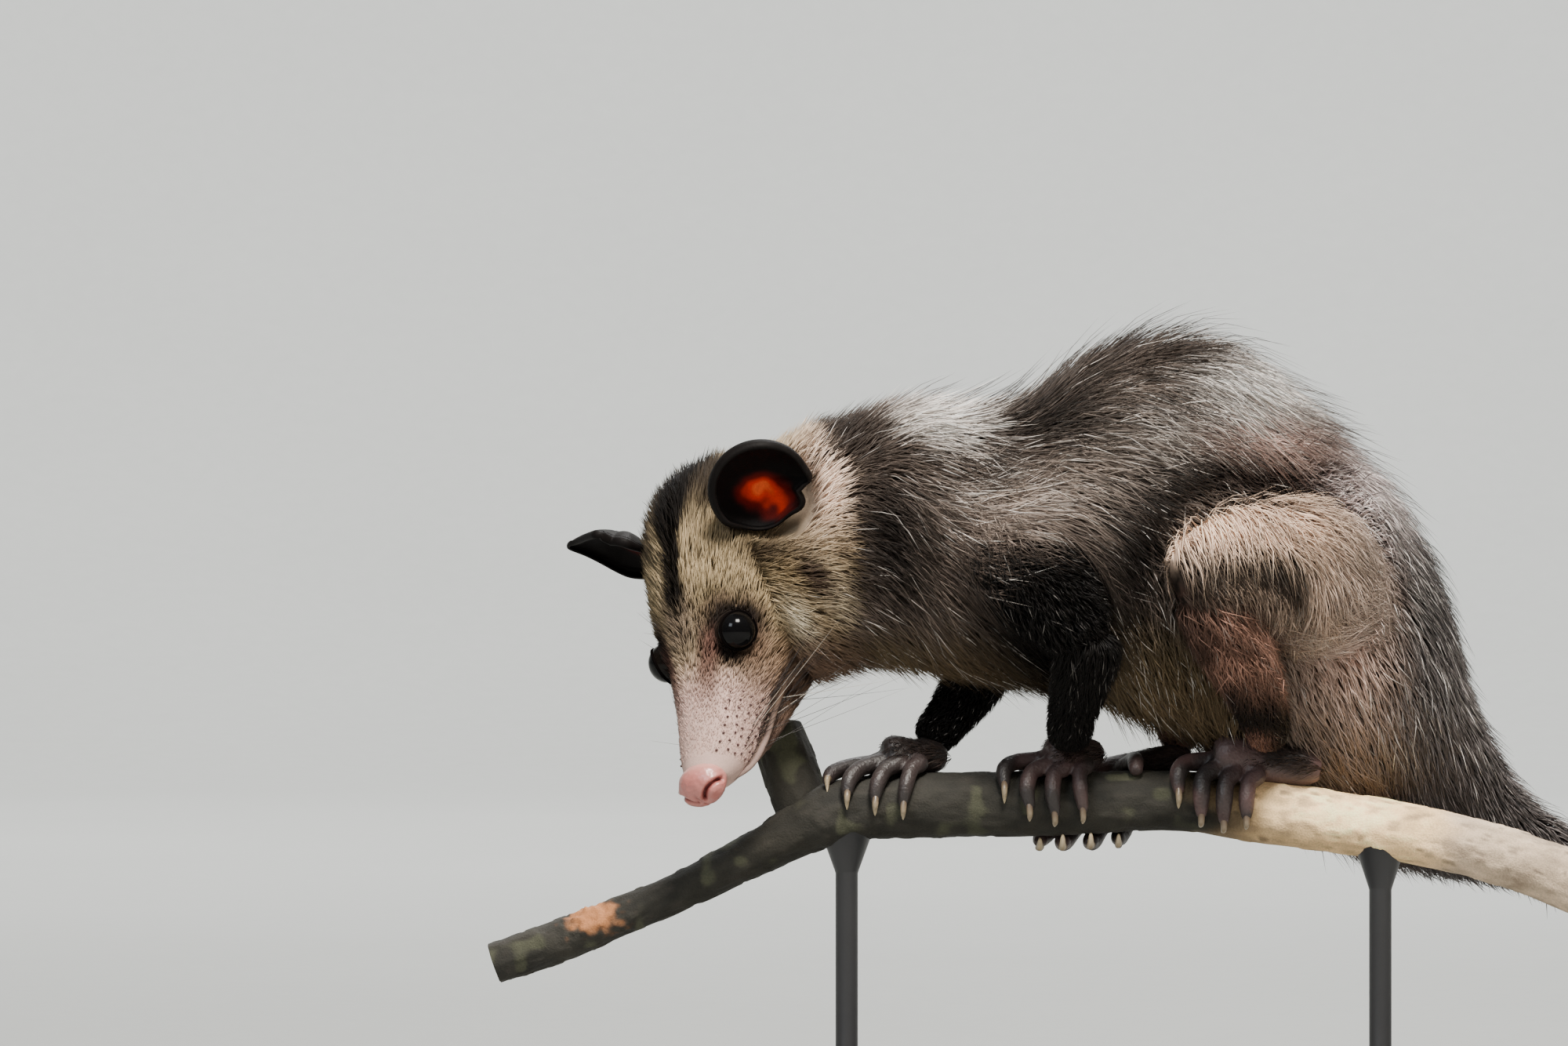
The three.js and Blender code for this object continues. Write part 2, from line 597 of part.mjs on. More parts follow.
// Head stations: place towards the nose, heights of the top and of the underside, half width
function headForm(stations) {
  return new Form(stations.map(({ place, top, bottom, halfWidth, egg, coat }) => ({
    middle: onHead(place, 0, (top + bottom) / 2),
    up: BROW_WARD,
    side: LEFT_WARD,
    halfWidth,
    halfHeight: (top - bottom) / 2,
    egg,
    coat,
  })));
}
const skull = headForm([
  { place: -77, top: -13, bottom: -33, halfWidth: 7, coat: 4 },
  { place: -72, top: -2, bottom: -42, halfWidth: 18, coat: 4 },
  { place: -61, top: 9, bottom: -50, halfWidth: 27, coat: 4 },
  { place: -46, top: 15, bottom: -56, halfWidth: 33, egg: -0.06, coat: 4 },
  { place: -30, top: 16.5, bottom: -59, halfWidth: 36, egg: -0.1, coat: 4 },
  { place: -15, top: 15, bottom: -57, halfWidth: 34, egg: -0.12, coat: 3.5 },
  { place: -5, top: 12.5, bottom: -49, halfWidth: 28, egg: -0.1, coat: 3 },
  { place: 5, top: 10, bottom: -40, halfWidth: 21.5, egg: -0.04, coat: 2 },
  { place: 15, top: 8.2, bottom: -31, halfWidth: 17.5, coat: 1 },
  { place: 26, top: 6.8, bottom: -26, halfWidth: 15, coat: 0.6 },
  { place: 38, top: 6, bottom: -21, halfWidth: 13.2, coat: 0.4 },
  { place: 47, top: 5.4, bottom: -16, halfWidth: 10.6, coat: 0.2 },
  { place: 52, top: 4.6, bottom: -11, halfWidth: 8, coat: 0 },
]);

// Lower jaw: a wedge from under the cheek to the chin, its top a little under the upper lip
const jaw = headForm([
  { place: -18, top: -38, bottom: -56, halfWidth: 17, coat: 3 },
  { place: -2, top: -31, bottom: -49, halfWidth: 14.5, coat: 2.5 },
  { place: 12, top: -26, bottom: -41.5, halfWidth: 11.5, coat: 1.5 },
  { place: 24, top: -22, bottom: -34.5, halfWidth: 9, coat: 0.8 },
  { place: 34, top: -19, bottom: -28.5, halfWidth: 6.8, coat: 0.4 },
  { place: 38.5, top: -19, bottom: -25, halfWidth: 3.6, coat: 0.2 },
]);

// Nose pad: a soft block with a nostril like a comma on each side
function nose(grow = 0) {
  const pad = headForm([
    { place: 49, top: 4.4, bottom: -7, halfWidth: 6.8 },
    { place: 51.5, top: 6.2, bottom: -7.6, halfWidth: 8.4 },
    { place: 55.5, top: 5.8, bottom: -7.2, halfWidth: 8.6 },
    { place: 58.8, top: 3.4, bottom: -5.6, halfWidth: 6.4 },
    { place: 60, top: 1, bottom: -3.6, halfWidth: 3 },
  ]);
  const body = core(pad, { rings: 6, sides: 12, share: 0, grow });
  if (grow > 0) return body;
  const nostrils = [-1, 1].map((sign) => bar(
    [[61, 2.8, 0.4], [58.4, 4.6, 1.2], [56, 7.6, 0.6], [53.6, 10.4, -2]]
      .map(([f, l, u]) => onHead(f, sign * l, u)),
    [1.2, 1.5, 1.3, 1], { sides: 5, steps: 1 },
  ));
  return cut(body, nostrils);
}

// Gaze of each eye in the head's own axes
const gaze = (sign) => vec(0.34, 0.86 * sign, 0.36).normalize();
const eyeMiddle = (sign) => onHead(0, sign * EYE_SPREAD, 0);

function eye(sign, grow = 0) {
  return ball(eyeMiddle(sign), Array(3).fill(EYE_RADIUS), { grow, width: 12, height: 8 });
}

// Lids: a thin shell round the eye, left open on a slit a little longer than it is high
function lids(sign) {
  const middle = eyeMiddle(sign).addScaledVector(gaze(sign).applyMatrix4(headAxes), -0.4);
  return ball(middle, Array(3).fill(EYE_RADIUS + 1.5), { width: 12, height: 7 });
}

function eyeOpening(sign) {
  const out = gaze(sign).applyMatrix4(headAxes);
  const along = NOSE_WARD.clone().addScaledVector(out, -out.dot(NOSE_WARD)).normalize();
  const axes = new THREE.Matrix4().makeBasis(along, out.clone().cross(along), out);
  const middle = eyeMiddle(sign).addScaledVector(out, EYE_RADIUS + 1);
  return ball(middle, [6.9, 6.1, 5.2], { axes, width: 10, height: 6 });
}

// Ear: a thin cupped leaf, narrow at its root, with a nick and a flap in its hind edge
const ears = {
  ear_left: { root: onHead(-42, 26, -4), rise: [-0.16, -0.34, 0.93], opens: [0.06, -1, -0.3] },
  ear_right: { root: onHead(-44, -25, 2), rise: [-0.9, 0.4, 0.2], opens: [-0.34, -0.33, -0.88] },
};

function ear({ root, rise, opens }, grow = 0) {
  const up = vec(...rise).normalize();
  const out = vec(...opens).addScaledVector(up, -up.dot(vec(...opens))).normalize();
  const side = up.clone().cross(out);
  // Point at s from the fore edge (-1) to the hind edge (1) and v from the root (0) to the tip (1)
  const leaf = (s, v) => {
    const round = Math.sin(Math.PI * mix(0.14, 0.965, v)) ** 0.55;
    const nick = s > 0 ? 1 - 0.16 * Math.exp(-(((v - 0.42) / 0.07) ** 2)) : 1;
    const across = Math.sin(s * 1.2) / Math.sin(1.2);
    const cup = mix(11, 6, v) * (1 - s * s) * Math.sin(Math.PI * mix(0.42, 0.96, v)) ** 0.5;
    return add(
      root, up.clone().multiplyScalar(EAR_HEIGHT * v),
      side.clone().multiplyScalar((EAR_WIDTH / 2) * round * nick * across),
      out.clone().multiplyScalar(3 * v * v - cup),
    );
  };
  const columns = 8;
  const rows = 7;
  const edge = 1 + (grow * 4) / EAR_WIDTH;
  const face = (thick) => counted(rows, (j) => counted(columns, (i) => {
    const s = mix(-edge, edge, i / (columns - 1));
    const v = mix(1 - edge, 0.99 + 0.02 * Math.sign(grow), j / (rows - 1));
    const step = 0.01;
    const along = leaf(s, v + step).sub(leaf(s, v - step));
    const normal = leaf(s + step, v).sub(leaf(s - step, v)).cross(along).normalize();
    return leaf(s, v).addScaledVector(normal, thick);
  }));
  const half = EAR_THICK / 2 + 1.6 * grow;
  return sheet(face(half), face(-half));
}

function head(grow = 0) {
  let solid = core(skull, { rings: 13, sides: 16, share: 0, grow });
  if (grow > 0) return solid;
  [-1, 1].forEach((sign) => {
    solid = solid.add(lids(sign)).subtract(eyeOpening(sign));
    const lip = [[51, 5, -10.5], [44, 9, -16.6], [34, 11.6, -20.6], [22, 13.6, -23.6], [11, 15.6, -26.6]]
      .map(([f, l, u]) => onHead(f, sign * l, u));
    solid = solid.add(bar(lip, [1.2, 1.7, 1.9, 1.9, 1.1], { sides: 5, steps: 1 }));
  });
  return solid;
}

// Naked tail: it hangs from the furry base, swings up again and ends in an open curl
const TAIL_LINE = [
  [158.5, 21, -30.5], [176, 18, -50], [194, 12, -78], [208, 6, -106], [227, 0, -130], [254, -5, -141],
  [280, -6, -130], [290, -3, -106], [278, 1, -87], [260, 4, -89], [252, 5, -101],
];
const TAIL_RADIUS = [8.4, 7.9, 7.2, 6.5, 5.8, 5.1, 4.5, 3.9, 3.3, 2.7, 1.6];
const TAIL_PARTS = [['tail_root_length', 0, 3], ['tail_middle_length', 3, 6], ['tail_tip_length', 6, 10]];

function tailLength(from, to, grow = 0) {
  const rows = TAIL_LINE.map((p, i) => [...overPerch(p).toArray(), TAIL_RADIUS[i]]);
  const count = (to - from) * 2 + 1;
  const form = new Form(rows.map(([x, y, z, radius], i) => {
    const ahead = vec(...rowAt(rows, i + 0.05)).sub(vec(...rowAt(rows, i - 0.05))).normalize();
    const side = vec(0, 1, 0).addScaledVector(ahead, -ahead.y).normalize();
    const up = side.clone().cross(ahead);
    return { middle: vec(x, y, z), up, side, halfWidth: radius, halfHeight: radius };
  }));
  return core(form, { from, to, rings: count, sides: 10, share: 0, grow });
}

// Stand: a flat base with rounded corners and two rods that end in a cup under the branch
function standBase(grow = 0) {
  const shape = new THREE.Shape();
  const [x, y, r] = [BASE_LENGTH / 2 + grow, BASE_DEPTH / 2 + grow, BASE_CORNER + grow];
  shape.moveTo(x - r, -y);
  shape.absarc(x - r, -y + r, r, -Math.PI / 2, 0);
  shape.absarc(x - r, y - r, r, 0, Math.PI / 2);
  shape.absarc(-x + r, y - r, r, Math.PI / 2, Math.PI);
  shape.absarc(-x + r, -y + r, r, Math.PI, 1.5 * Math.PI);
  const depth = BASE_THICK + grow;
  const slab = new THREE.ExtrudeGeometry(shape, { depth, bevelEnabled: false, curveSegments: 5 });
  return solidFromGeometry(slab);
}

function standRod(x, grow = 0) {
  const [, y, z, radius] = rowAt(branchRows, branchPlace(x));
  const upright = (top, bottom, length, low) => solidFromGeometry(
    new THREE.CylinderGeometry(top + grow, bottom + grow, length + 2 * grow, 10)
      .rotateX(Math.PI / 2).translate(x, y, low + length / 2),
  );
  const height = z - BASE_THICK;
  const cup = radius + 6;
  return join([
    upright(ROD_RADIUS, ROD_RADIUS, height, BASE_THICK),
    upright(ROD_RADIUS + 5, ROD_RADIUS + 7, 5, BASE_THICK),
    upright(radius - 1, ROD_RADIUS, cup, z - cup - 5),
  ]);
}

const colours = {
  face: '#b9a688', skin: '#c9a49c', eye: '#0a0a0c', ear: '#17130f', coat: '#6f6154', pale: '#a08a70',
  dark: '#1c1815', tail: '#3b3230', tailEnd: '#c8b5a6', bark: '#6d6358', stand: '#2e2e30',
};

// Each piece is cut clear of those placed before it. The maker gives the piece itself for 0 and
// the space that it takes up for the gap.
const model = new THREE.Group();
const taken = [];
function place(name, maker, colour, roughness = 0.85, metalness = 0) {
  const body = maker(0);
  const { vertProperties, triVerts } = largest(cut(body, taken)).getMesh();
  taken.push(maker(GAP), body);
  const geometry = new THREE.BufferGeometry();
  geometry.setAttribute('position', new THREE.BufferAttribute(vertProperties, 3));
  geometry.setIndex(new THREE.BufferAttribute(triVerts, 1));
  geometry.computeVertexNormals();
  const material = new THREE.MeshStandardMaterial({ color: colour, roughness, metalness });
  const mesh = new THREE.Mesh(geometry, material);
  mesh.name = name;
  model.add(mesh);
}
const sides = ['left', 'right'];

place('stand_base', standBase, colours.stand, 0.5, 0.6);
place('perch_branch', branch, colours.bark, 0.95);
place('stand_rod_front', (grow) => standRod(ROD_X[0], grow), colours.stand, 0.5, 0.6);
place('stand_rod_rear', (grow) => standRod(ROD_X[1], grow), colours.stand, 0.5, 0.6);

Object.entries(paws).forEach(([name, shape]) => {
  place(name, (grow) => paw(shape, grow), colours.dark, 0.7);
});
[['forearm', forearm], ['shank', shank], ['upper_arm', upperArm]].forEach(([name, forms]) => {
  sides.forEach((hand) => {
    const size = { rings: 6, sides: 10, share: 0 };
    place(`${name}_${hand}`, (grow) => core(forms[hand], { ...size, grow }), colours.dark);
  });
});
sides.forEach((hand, i) => {
  const inward = [0, Math.PI][i];
  const locks = coatOf(thigh[hand], {
    from: 0.8, to: 4.2, seed: 40 + i, scale: 0.9, spacing: 19.5,
    avoid: [[trunk, -7]], skip: (t, angle) => Math.cos(angle - inward) > 0.35,
  });
  const size = { from: 0, to: 5, rings: 7, sides: 10 };
  place(`thigh_${hand}`, (grow) => furred(thigh[hand], size, locks, grow), colours.pale);
});

place('eye_left', (grow) => eye(1, grow), colours.eye, 0.1);
place('eye_right', (grow) => eye(-1, grow), colours.eye, 0.1);
place('nose', nose, colours.skin, 0.5);
place('lower_jaw', (grow) => core(jaw, { rings: 6, sides: 10, share: 0, grow }), colours.face);
place('head', head, colours.face);
Object.entries(ears).forEach(([name, shape]) => {
  place(name, (grow) => ear(shape, grow), colours.ear, 0.6);
});

const TRUNK_PARTS = [
  ['neck', 0, NECK_END, 5], ['chest', NECK_END, CHEST_END, 6], ['rump', CHEST_END, RUMP_END, 10],
  ['tail_base', RUMP_END, TAIL_BASE_END, 7],
];
const trunkLocks = coatOf(trunk, {
  from: 0.9,
  to: 15.2,
  seed: 7,
  avoid: [
    [skull, 1], [jaw, 1],
    ...sides.flatMap((hand) => [[thigh[hand], -1], [upperArm[hand], -1]]),
    ...sides.flatMap((hand) => [[shank[hand], 0], [forearm[hand], 0]]),
  ],
  skip: (t, angle, root) => root.z < PERCH_HEIGHT + 17 && root.y < 8,
});
TRUNK_PARTS.forEach(([name, from, to, rings]) => {
  const size = { from, to, rings, sides: 12 };
  place(name, (grow) => furred(trunk, size, trunkLocks, grow), colours.coat, 0.95);
});
TAIL_PARTS.forEach(([name, from, to], i) => {
  place(name, (grow) => tailLength(from, to, grow), i === 0 ? colours.tail : colours.tailEnd, 0.7);
});

export default model;
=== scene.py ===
# %% [markdown]
# # A common opossum on its branch
# A still, life-size model of an opossum that crouches on a cut length of branch, held by a plain
# display stand. Lengths are written in millimetres, from the middle of the branch above the
# floor, and turned into metres where a mesh is made. X runs from the head to the tail, the
# animal's left side faces -Y, and Z is up.

# %% Frame
import math

import bpy
import numpy as np
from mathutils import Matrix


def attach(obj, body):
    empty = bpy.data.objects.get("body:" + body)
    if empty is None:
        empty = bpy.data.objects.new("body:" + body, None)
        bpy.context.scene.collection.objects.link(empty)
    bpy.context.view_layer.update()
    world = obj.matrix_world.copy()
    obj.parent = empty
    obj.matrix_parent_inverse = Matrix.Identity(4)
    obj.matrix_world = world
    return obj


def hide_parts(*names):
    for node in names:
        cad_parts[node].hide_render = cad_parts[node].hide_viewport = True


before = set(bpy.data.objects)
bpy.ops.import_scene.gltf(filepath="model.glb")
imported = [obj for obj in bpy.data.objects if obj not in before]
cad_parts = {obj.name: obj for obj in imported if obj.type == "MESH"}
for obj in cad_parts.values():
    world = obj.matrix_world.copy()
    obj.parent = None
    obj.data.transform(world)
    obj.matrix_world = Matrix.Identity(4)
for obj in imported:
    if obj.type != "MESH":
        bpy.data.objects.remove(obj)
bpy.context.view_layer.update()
MM = 0.001
PERCH_HEIGHT = 158.0
TURN = 2 * math.pi

# %% [markdown]
# ## Camera
# The photo was taken from far off with a long lens, level with the animal. Such a lens hardly
# shrinks what lies further back, so its outline stays as it is from the side. The camera stands
# over three metres away, and its focal length follows from the width that the frame shows there.

# %% Camera
VIEW_WIDTH = 560.0
VIEW_MIDDLE = (-134.4, 258.5)
VIEW_DISTANCE = 3200.0
camera = bpy.data.objects.new("camera", bpy.data.cameras.new("camera"))
camera.data.sensor_width = 36.0
camera.data.lens = camera.data.sensor_width * VIEW_DISTANCE / VIEW_WIDTH
camera.data.clip_start, camera.data.clip_end = 0.1, 50.0
camera.location = (VIEW_MIDDLE[0] * MM, -VIEW_DISTANCE * MM, VIEW_MIDDLE[1] * MM)
camera.rotation_euler = (math.pi / 2, 0.0, 0.0)
bpy.context.scene.collection.objects.link(camera)
bpy.context.scene.camera = camera
print("lens", round(camera.data.lens), "mm")

# %% [markdown]
# ## Curves and noise
# Every shape below is worked out from a few rows of numbers. A smooth curve through the rows
# gives the values between them, and a noise of soft lumps roughens what is never quite even.


# %% Curves and noise
def unit(v):
    """Vectors of length one: each vector divided by its own length."""
    return v / np.maximum(np.linalg.norm(v, axis=-1, keepdims=True), 1e-9)


def smooth_rows(rows, place):
    """Catmull-Rom values at places along the rows: a cubic between each two neighbours, whose
    slope at a row is half the step from the row before it to the row after it."""
    rows = np.asarray(rows, float)
    place = np.asarray(place, float)
    last = len(rows) - 1
    low = np.clip(np.floor(place), 0, last - 1).astype(int)
    s = (place - low)[..., None]
    before, here, ahead, beyond = (rows[np.clip(low + k, 0, last)] for k in (-1, 0, 1, 2))
    slopes = (ahead - before) / 2 * (s**3 - 2 * s**2 + s) + (beyond - here) / 2 * (s**3 - s**2)
    return here * (2 * s**3 - 3 * s**2 + 1) + ahead * (3 * s**2 - 2 * s**3) + slopes


def soft_step(low, high, value):
    """0 below low, 1 above high, and between them 3s^2 - 2s^3 of the share s of the way."""
    s = np.clip((value - low) / (high - low), 0, 1)
    return s * s * (3 - 2 * s)


def lumps(points, size, seed=0):
    """Noise from -1 to 1: a random value at each corner of a lattice of cubes, blended between
    the eight corners round each point."""
    p = np.asarray(points, float) / size + 1000.0
    cell = np.floor(p).astype(np.int64)
    s = p - cell
    s = s * s * (3 - 2 * s)
    total = 0.0
    for corner in np.ndindex(2, 2, 2):
        key = ((cell + corner) * (374761393, 668265263, 2147483647)).sum(-1) + seed * 974711
        key = (key ^ (key >> 13)) * 1274126177
        value = ((key ^ (key >> 16)) & 0xFFFF) / 32767.5 - 1
        total = total + value * np.prod(np.where(corner, s, 1 - s), axis=-1)
    return total


def blob(x, z, middle, radii):
    """Soft round mask in the side view: 1 in the middle, falling as exp(-distance squared)."""
    return np.exp(-(((x - middle[0]) / radii[0]) ** 2) - ((z - middle[1]) / radii[1]) ** 2)


def blend(a, b, share):
    """Colour a turned into colour b by a share from 0 to 1 for each point."""
    return np.asarray(a) + (np.asarray(b) - np.asarray(a)) * np.clip(share, 0, 1)[..., None]


def round_grid(places, sides):
    """Grid of places by angles spread evenly round one turn."""
    return np.meshgrid(places, np.arange(sides) * TURN / sides, indexing="ij")


print("noise", np.round(lumps(np.arange(9).reshape(3, 3) * 0.7, 1.0), 2))

# %% [markdown]
# ## Meshes
# A closed surface is a grid of points: rings along the piece, and points round each ring. Its
# two ends are closed by fans. Blender takes whole arrays at once, which keeps a coat of a
# million faces quick to build.


# %% Meshes
def ring_quads(count, sides):
    """Faces between each ring of points and the next, and last between the last and the first."""
    i, k = np.meshgrid(np.arange(count), np.arange(sides), indexing="ij")
    here, ahead, after = i * sides, (i + 1) % count * sides, (k + 1) % sides
    return np.stack([here + k, here + after, ahead + after, ahead + k], -1).reshape(-1, 4)


def closed_grid(rings):
    """Points and faces of a closed surface through rings of points, ends closed by fans. The
    faces are turned outwards by the sign of the volume that they enclose."""
    count, sides = rings.shape[:2]
    ends = [rings[0].mean(0)[None], rings[-1].mean(0)[None]]
    points = np.concatenate([rings.reshape(-1, 3), *ends])
    k = np.arange(sides)
    after = (k + 1) % sides
    start = np.stack([after, k, np.full(sides, count * sides)], -1)
    end = np.stack([k, after, np.full(sides, count * sides + 1)], -1)
    end[:, :2] += (count - 1) * sides
    polygons = [ring_quads(count, sides)[: (count - 1) * sides], np.concatenate([start, end])]
    a, b, c = (points[polygons[0][:, n]] for n in (0, 1, 2))
    if np.einsum("ij,ij->", a - points.mean(0), np.cross(b - a, c - a)) < 0:
        polygons = [p[:, ::-1] for p in polygons]
    return points, polygons


def gather(shells):
    """Several shells as one: their points in a row, their faces' numbers moved up to match."""
    points, polygons, used = [], [], 0
    for shell_points, shell_polygons in shells:
        points.append(shell_points)
        polygons += [p + used for p in shell_polygons]
        used += len(shell_points)
    return np.concatenate(points), polygons


def mesh_piece(name, shell, colour=None, bake_uv=None, other_uv=None, smooth=True):
    """Object of a shell in millimetres, with a colour and an unwrapped place for each point."""
    points, polygons = shell
    corners = np.concatenate([p.ravel() for p in polygons]).astype(np.int32)
    sizes = np.concatenate([np.full(len(p), p.shape[1]) for p in polygons])
    mesh = bpy.data.meshes.new(name)
    mesh.vertices.add(len(points))
    mesh.vertices.foreach_set("co", (points * MM).astype(np.float32).ravel())
    mesh.loops.add(len(corners))
    mesh.loops.foreach_set("vertex_index", corners)
    mesh.polygons.add(len(sizes))
    mesh.polygons.foreach_set("loop_start", (np.cumsum(sizes) - sizes).astype(np.int32))
    mesh.update(calc_edges=True)
    mesh.polygons.foreach_set("use_smooth", np.full(len(sizes), smooth))
    if colour is not None:
        layer = mesh.color_attributes.new("coat", "FLOAT_COLOR", "POINT")
        rgba = np.concatenate([np.clip(colour, 0, 1), np.ones((len(points), 1))], 1)
        layer.data.foreach_set("color", rgba.astype(np.float32).ravel())
    for uv_name, uv in (("OFBake", bake_uv), ("pattern", other_uv)):
        if uv is not None:
            layer = mesh.uv_layers.new(name=uv_name)
            layer.data.foreach_set("uv", uv[corners].astype(np.float32).ravel())
    piece = bpy.data.objects.new(name, mesh)
    bpy.context.scene.collection.objects.link(piece)
    return piece


def dress(piece, material, slot, *nodes):
    """Gives a piece its material, makes it ride, and lets it stand for CAD nodes. The slot is not
    used.
    """
    piece.data.materials.append(material)
    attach(piece, "root")
    if nodes:
        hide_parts(*nodes)
    print(piece.name, len(piece.data.polygons), "faces")
    return piece


# %% [markdown]
# ## Body forms
# The body, each part of a limb, the skull and the jaw are round forms along a line of stations.
# A station holds the section's middle, its up and side directions, half its width and height out
# to the coat's tips, an egg shape, and the depth of the coat over the skin. The same form gives
# the skin, the roots of the hair and the way that it lies.


# %% Body forms
def over_perch(p):
    """Points written from the top of the perch, moved up to their height above the floor."""
    return np.asarray(p, float) + (0, 0, PERCH_HEIGHT)


def form_point(form, t, angle, inset):
    """Point at place t and angle (0 to the side, a quarter turn up), inset from the tips: middle
    + side * cos * (half width - inset) * (1 + egg * sin) + up * sin * (half height - inset)."""
    r = smooth_rows(form, t)
    sin = np.sin(angle)
    across = np.cos(angle) * (r[..., 9] - inset) * (1 + r[..., 11] * sin)
    rise = sin * (r[..., 10] - inset)
    up, side = unit(r[..., 3:6]), unit(r[..., 6:9])
    return r[..., 0:3] + side * across[..., None] + up * rise[..., None]


def coat_depth(form, t):
    """Depth of the coat over the skin at place t."""
    return smooth_rows(form, t)[..., 12]


def form_slopes(form, t, angle, inset):
    """Steps of the surface for one unit of t and of angle, and its outward direction."""
    h = 0.01

    def moved(dt, da):
        return form_point(form, t + dt, angle + da, inset)

    along = (moved(h, 0) - moved(-h, 0)) / (2 * h)
    round_it = (moved(0, h) - moved(0, -h)) / (2 * h)
    out = unit(np.cross(round_it, along))
    middle = smooth_rows(form, t)[..., 0:3]
    outward = np.einsum("...i,...i->...", out, moved(0, 0) - middle)
    return along, round_it, out * np.where(outward < 0, -1, 1)[..., None]


ALONGSIDE = 6.0


def section_of(form, points):
    """For each point the middle of the nearest section of a form, the point's way from it, that
    way as a share of the section's own, the section's size, and whether it lies alongside."""
    last = len(form) - 1
    r = smooth_rows(form, np.linspace(0, last, 14 * last))
    away = ((points**2).sum(-1)[:, None] + (r[:, :3] ** 2).sum(-1)) - 2 * points @ r[:, :3].T
    near = r[np.argmin(away, axis=1)]
    off = points - near[:, :3]
    up, side = unit(near[:, 3:6]), unit(near[:, 6:9])
    width, height = (np.maximum(near[:, n] - near[:, 12], 0.5) for n in (9, 10))
    x, y = (np.einsum("ij,ij->i", off, way) for way in (side, up))
    z = np.einsum("ij,ij->i", off, np.cross(up, side))
    share = np.hypot(x / width, y / height)
    return near[:, :3], off, share, np.minimum(width, height), np.abs(z) < ALONGSIDE


def clearance(form, points):
    """How far points lie outside the skin of a form, below 0 inside: the share of the section's
    size at which they stand, less one, times that size. Beyond the form's ends it is far."""
    _, _, share, size, beside = section_of(form, points)
    return np.where(beside, (share - 1) * size, 99.0)


def lifted(form, points, least):
    """Points moved straight out from the form's middle to a least distance outside its skin."""
    middle, off, share, size, beside = section_of(form, points)
    wanted = np.maximum(share, 1 + least / size) / np.maximum(share, 0.3)
    return np.where(beside[:, None], middle + off * wanted[:, None], points)


def inside(form, points, margin):
    """Whether points lie less than a margin outside a form's skin."""
    return clearance(form, points) < margin


# a row: point of the back line, point of the belly line, half width, coat, egg shape
TRUNK_LINE = [
    ((-153, -12, 112), (-140, -8, 50), 24, 6, 0), ((-136, -9, 133), (-124, -6, 40), 33, 9, 0),
    ((-116, -6, 142), (-108, -3, 43), 37.5, 11, 0), ((-92, -2, 150), (-88, 0, 43), 41, 14, 0),
    ((-69, 0, 149), (-67, 0, 40), 43, 15, 0), ((-48, 0, 152), (-43, 1, 36), 45, 15, 0),
    ((-26, 1, 166), (-23, 2, 31), 47, 16, 0), ((-1, 3, 174), (-5, 5, 23), 50, 18, 0),
    ((28, 5, 170), (13, 10, 16), 51, 20, 0.05), ((58, 8, 145), (34, 20, 0), 49, 20, 0.12),
    ((87, 12, 115), (54, 29, -15), 44, 18, 0.18), ((104, 16, 80), (76, 32, -25), 36, 16, 0.16),
    ((113, 19, 45), (95, 32, -29), 28, 13, 0.1), ((124, 21, 20), (112, 31, -31), 21, 10, 0),
    ((136, 22, 4), (127, 29, -33), 16.5, 8, 0), ((149, 22, -7), (141, 26, -36), 12.5, 5.5, 0),
    ((163, 20, -20), (155, 22, -41), 9.6, 2, 0),
]
top = over_perch([row[0] for row in TRUNK_LINE])
bottom = over_perch([row[1] for row in TRUNK_LINE])
half_width, coat, egg = np.array([row[2:] for row in TRUNK_LINE], float).T
trunk = np.column_stack([
    (top + bottom) / 2, top - bottom, np.tile([0, 1, 0], (len(top), 1)),
    half_width, np.linalg.norm(top - bottom, axis=1) / 2, egg, coat,
])


def limb(stations):
    """Form through rows of x, y, z, half width, half height and coat, with a rounded end of half
    the size added half a width beyond each end."""
    rows = np.asarray(stations, float)

    def round_end(end, neighbour):
        away = unit(end[:3] - neighbour[:3]) * 0.5 * end[3]
        return np.concatenate([end[:3] + away, end[3:] * 0.5])

    rows = np.stack([round_end(rows[0], rows[1]), *rows, round_end(rows[-1], rows[-2])])
    padded = np.concatenate([rows[:1], rows, rows[-1:]])
    ahead = unit(padded[2:, :3] - padded[:-2, :3])
    side = unit(np.array([0, 1, 0]) - ahead * ahead[:, 1:2])
    return np.column_stack([
        over_perch(rows[:, :3]), np.cross(side, ahead), side,
        rows[:, 3:5], np.zeros(len(rows)), rows[:, 5],
    ])


